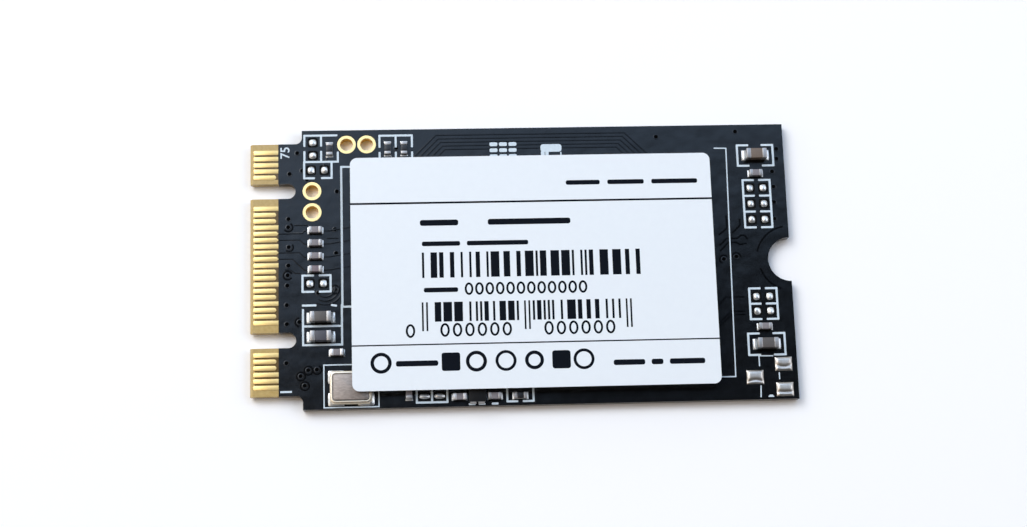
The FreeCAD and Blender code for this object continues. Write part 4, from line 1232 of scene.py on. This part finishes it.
# %% [markdown]
# The label is coated paper with a plain printed layout: two rules, short ink bars, rows of thin upright
# bars, rows of blank zeros and a few plain shapes. Each is a flat closed block of ink on the paper.

# %% Label rules and ink bars
PRINT_THICK = 0.006
LABEL_FACE = LABEL_HIGH.z
RULES = ((4.735, 0.15), (-6.36, 0.10))
INK_BARS = (
    (6.18, 0.36, ((3.5, 6.15), (6.75, 9.60), (10.2, 13.80))),
    (3.14, 0.46, ((-7.90, -4.95), (-2.66, 3.74))),
    (1.48, 0.36, ((-7.78, -4.84), (-4.32, 0.41))),
    (-2.15, 0.36, ((-7.70, -5.08),)),
    (-8.05, 0.42, ((6.64, 9.05), (9.55, 10.45), (10.95, 13.67))),
    (-7.80, 0.42, ((-9.92, -6.72),)),
)
INK_BAR_ROUND = 0.35


def add_print(shape, left, right, lower, upper, corner=0.0):
    """A printed rectangle on the label, with round corners where asked."""
    verts = add_block(shape, (left, lower, LABEL_FACE), (right, upper, LABEL_FACE + PRINT_THICK))
    if corner:
        soften(shape, edges_of(verts, upright), corner, segments=3)


label_print = bmesh.new()
for y, thick in RULES:
    add_print(label_print, LABEL_LOW.x, LABEL_HIGH.x, y - thick / 2, y + thick / 2)
for y, height, spans in INK_BARS:
    for left, right in spans:
        add_print(label_print, left, right, y - height / 2, y + height / 2, corner=height * INK_BAR_ROUND)
print(f"{len(RULES)} rules and {len(INK_BARS)} rows of ink bars")

# %% [markdown]
# The thin bars encode nothing: their widths and gaps are drawn at random from a few sizes, with a fixed
# seed for each row, so they are the same each time. The lower row has pairs of guards that hang below it.

# %% Rows of thin bars
BAR_UNIT = 0.165
BAR_SIZES = (1, 1, 2, 2, 3, 4)
GAP_SIZES = (1, 1, 1, 2, 3)
BAR_ROWS = ((-7.80, 9.25, -1.20, 0.80, 3), (-6.90, -0.25, -4.62, -3.10, 5), (0.60, 7.45, -4.62, -3.10, 8))
GUARD_MIDDLES = (-7.65, 0.175, 8.0)
GUARD_LOWER, GUARD_UPPER = -5.33, -3.10
GUARD_SHARE = 0.4


def add_bars(shape, left, right, lower, upper, seed):
    """A row of bars of seeded random widths that fills a span."""
    draw = random.Random(seed)
    x = left
    while x < right - BAR_UNIT:
        bar = min(draw.choice(BAR_SIZES) * BAR_UNIT, right - x)
        add_print(shape, x, x + bar, lower, upper)
        x += bar + draw.choice(GAP_SIZES) * BAR_UNIT


def add_guards(shape, middle):
    """A pair of thin bars that hang lower than the rest."""
    for side in (-1, 1):
        at = middle + side * BAR_UNIT
        half = BAR_UNIT * GUARD_SHARE
        add_print(shape, at - half, at + half, GUARD_LOWER, GUARD_UPPER)


for row in BAR_ROWS:
    add_bars(label_print, *row)
for middle in GUARD_MIDDLES:
    add_guards(label_print, middle)
print(f"{len(BAR_ROWS)} rows of thin bars with {len(GUARD_MIDDLES)} pairs of guards")

# %% [markdown]
# A blank zero is an oval ring. A filled circle is inset to a ring, the disc inside is dropped, and the ring
# is extruded down to the paper. Wider rings and two squares make the plain shapes in the last row.

# %% Blank zeros and plain shapes
ZERO_STROKE = 0.16
ZERO_WIDTH_SHARE = 0.68
ZERO_SEGMENTS = 40
ZERO_ROWS = (
    (-4.64, 4.92, -2.10, 12, 0.98), (-9.20, -8.35, -5.30, 1, 1.06),
    (-6.62, -0.93, -5.27, 6, 1.06), (1.32, 7.00, -5.27, 6, 1.06),
)
SHAPE_ROW = -7.72
PLAIN_SQUARES = ((-5.75, 0.70, 0.16), (2.66, 0.70, 0.2))
PLAIN_RINGS = (
    (-11.04, 1.60, 0.26), (-3.82, 1.60, 0.26), (0.60, 1.44, 0.26), (-1.57, 1.60, 0.22), (4.38, 1.60, 0.22),
)


def add_zero(shape, x, y, width, height, stroke):
    """A blank zero: an oval ring of ink."""
    squash = Matrix.Diagonal((width / 2, height / 2, 1, 1))
    place = Matrix.Translation((x, y, LABEL_FACE + PRINT_THICK)) @ squash
    made = bmesh.ops.create_circle(
        shape, cap_ends=True, radius=1, segments=ZERO_SEGMENTS, matrix=place)["verts"]
    disc = made[0].link_faces[0]
    ring = bmesh.ops.inset_region(
        shape, faces=[disc], thickness=stroke, depth=0, use_even_offset=True, use_boundary=True)["faces"]
    bmesh.ops.delete(shape, geom=[disc], context="FACES_ONLY")
    sides = bmesh.ops.extrude_face_region(shape, geom=ring)["geom"]
    bmesh.ops.translate(shape, vec=(0, 0, -PRINT_THICK), verts=verts_in(sides))


for left, right, y, count, height in ZERO_ROWS:
    pitch = (right - left) / count
    for order in range(count):
        x = left + pitch * (order + 0.5)
        add_zero(label_print, x, y, height * ZERO_WIDTH_SHARE, height, ZERO_STROKE)
for x, half, corner in PLAIN_SQUARES:
    add_print(label_print, x - half, x + half, SHAPE_ROW - half, SHAPE_ROW + half, corner)
for x, width, stroke in PLAIN_RINGS:
    add_zero(label_print, x, SHAPE_ROW, width, width, stroke)
bmesh.ops.recalc_face_normals(label_print, faces=label_print.faces)
finish_piece("label_print", label_print, [LABEL_INK])

# %% [markdown]
# The drive lies on a plain pale floor, matte and very slightly uneven, a hair below the tracks of the
# underside. The floor is part of the stage, not of the drive.

# %% Floor
FLOOR_HALF = 1.5
FLOOR_DROP = 0.02
FLOOR_PATCH = 60.0
floor_mesh = bpy.data.meshes.new("studio_floor")
floor_shape = bmesh.new()
bmesh.ops.create_grid(floor_shape, x_segments=1, y_segments=1, size=FLOOR_HALF)
bmesh.ops.translate(floor_shape, vec=(0, 0, -FLOOR_DROP * MM), verts=floor_shape.verts)
floor_shape.to_mesh(floor_mesh)
floor_shape.free()
floor_finish = grained("pale_studio_floor", "#fbfbfb", "#f7f7f7", FLOOR_PATCH, detail=2.0, Roughness=0.9)
floor_mesh.materials.append(floor_finish)
floor = place_object("studio_floor", floor_mesh)
print(f"floor {2 * FLOOR_HALF} m wide")

# %% [markdown]
# A wide soft panel overhead, towards the far side, is what the glossy mask mirrors: its near edge falls
# across the board, so the far half looks slate and the near half nearly black. Smaller, brighter panels at
# the left and right light the paper and the floor without showing in the mask, and a small warm one at the
# near left puts glints on the solder. The room is dim overhead and brighter at the horizon, most of all at
# the far left.

# %% Panels and room
PANELS = (
    ("overhead_panel", (0.0, 0.283, 0.40), (0.0, 0.283, 0.0), (0.90, 0.38), 1.8, "#bcdaff", 15),
    ("left_panel", (-0.30, 0.25, 0.42), (0.0, 0.0, 0.0), (0.35, 0.35), 2.0, "#fffaf2", 0),
    ("right_panel", (0.45, 0.05, 0.36), (0.0, 0.0, 0.0), (0.35, 0.35), 1.1, "#f4f7ff", 0),
    ("near_panel", (-0.26, -0.06, 0.40), (-0.01, 0.0, 0.0), (0.25, 0.30), 0.4, "#ffe2c0", 0),
)
FAR_LEFT = (-0.7, 0.7, 0.0)


def add_panel(name, place, target, size, power, colour, roll):
    """A soft rectangular light that faces a point, rolled about its own axis by some degrees."""
    lamp = bpy.data.lights.new(name, "AREA")
    lamp.shape = "RECTANGLE"
    lamp.size, lamp.size_y = size
    lamp.energy = power
    lamp.color = linear(colour)[:3]
    panel = place_object(name, lamp)
    panel.location = place
    facing = (Vector(target) - Vector(place)).to_track_quat("-Z", "Y").to_matrix()
    panel.rotation_euler = (facing @ Matrix.Rotation(math.radians(roll), 3, "Z")).to_euler()


for panel in PANELS:
    add_panel(*panel)
world = bpy.data.worlds.new("studio")
bpy.context.scene.world = world
world.use_nodes = True
room = world.node_tree
direction = add_node(room, "ShaderNodeTexCoord").outputs["Generated"]
height = add_node(room, "ShaderNodeSeparateXYZ", {0: direction}).outputs["Z"]
towards = add_node(room, "ShaderNodeVectorMath", {
    0: direction, 1: FAR_LEFT}, operation="DOT_PRODUCT").outputs["Value"]
horizon = add_node(room, "ShaderNodeMapRange", {
    "Value": towards, "From Min": -0.8, "From Max": 0.8, "To Min": 0.12, "To Max": 1.0}).outputs["Result"]
glow = add_node(room, "ShaderNodeMapRange", {
    "Value": height, "From Min": 0.25, "From Max": 0.75, "To Min": horizon, "To Max": 0.01})
room.links.new(glow.outputs["Result"], room.nodes["Background"].inputs["Strength"])
room.nodes["Background"].inputs["Color"].default_value = linear("#ffffff")
bpy.context.scene.view_settings.view_transform = "Standard"
print(f"{len(PANELS)} panels and a dim room")

# %% [markdown]
# The camera stands where the photograph was taken from: almost overhead, a little towards the near side.
# Its place and its focal length were solved from the board's corners, contact edge and notches, whose sizes
# are known.

# %% Camera
CAMERA_PLACE = Vector((-8.459, -28.799, 132.352)) * MM
CAMERA_LOOK = Vector((0.05746, 0.21385, -0.97517)).normalized()
CAMERA_UP = Vector((0.01865, 0.97639, 0.21522)).normalized()
IMAGE_WIDTH = 1027
FOCAL_PIXELS = 1739.2
SENSOR_WIDTH = 36.0
NEAREST_SEEN = 0.005
lens = bpy.data.cameras.new("camera")
lens.sensor_fit = "HORIZONTAL"
lens.sensor_width = SENSOR_WIDTH
lens.lens = FOCAL_PIXELS / IMAGE_WIDTH * SENSOR_WIDTH
lens.clip_start = NEAREST_SEEN
camera = place_object("camera", lens)
side = CAMERA_LOOK.cross(CAMERA_UP).normalized()
upward = side.cross(CAMERA_LOOK)
turn = Matrix((side, upward, -CAMERA_LOOK)).transposed()
camera.matrix_world = Matrix.Translation(CAMERA_PLACE) @ turn.to_4x4()
bpy.context.scene.camera = camera
print(f"lens {lens.lens:.2f} mm")

# %% [markdown]
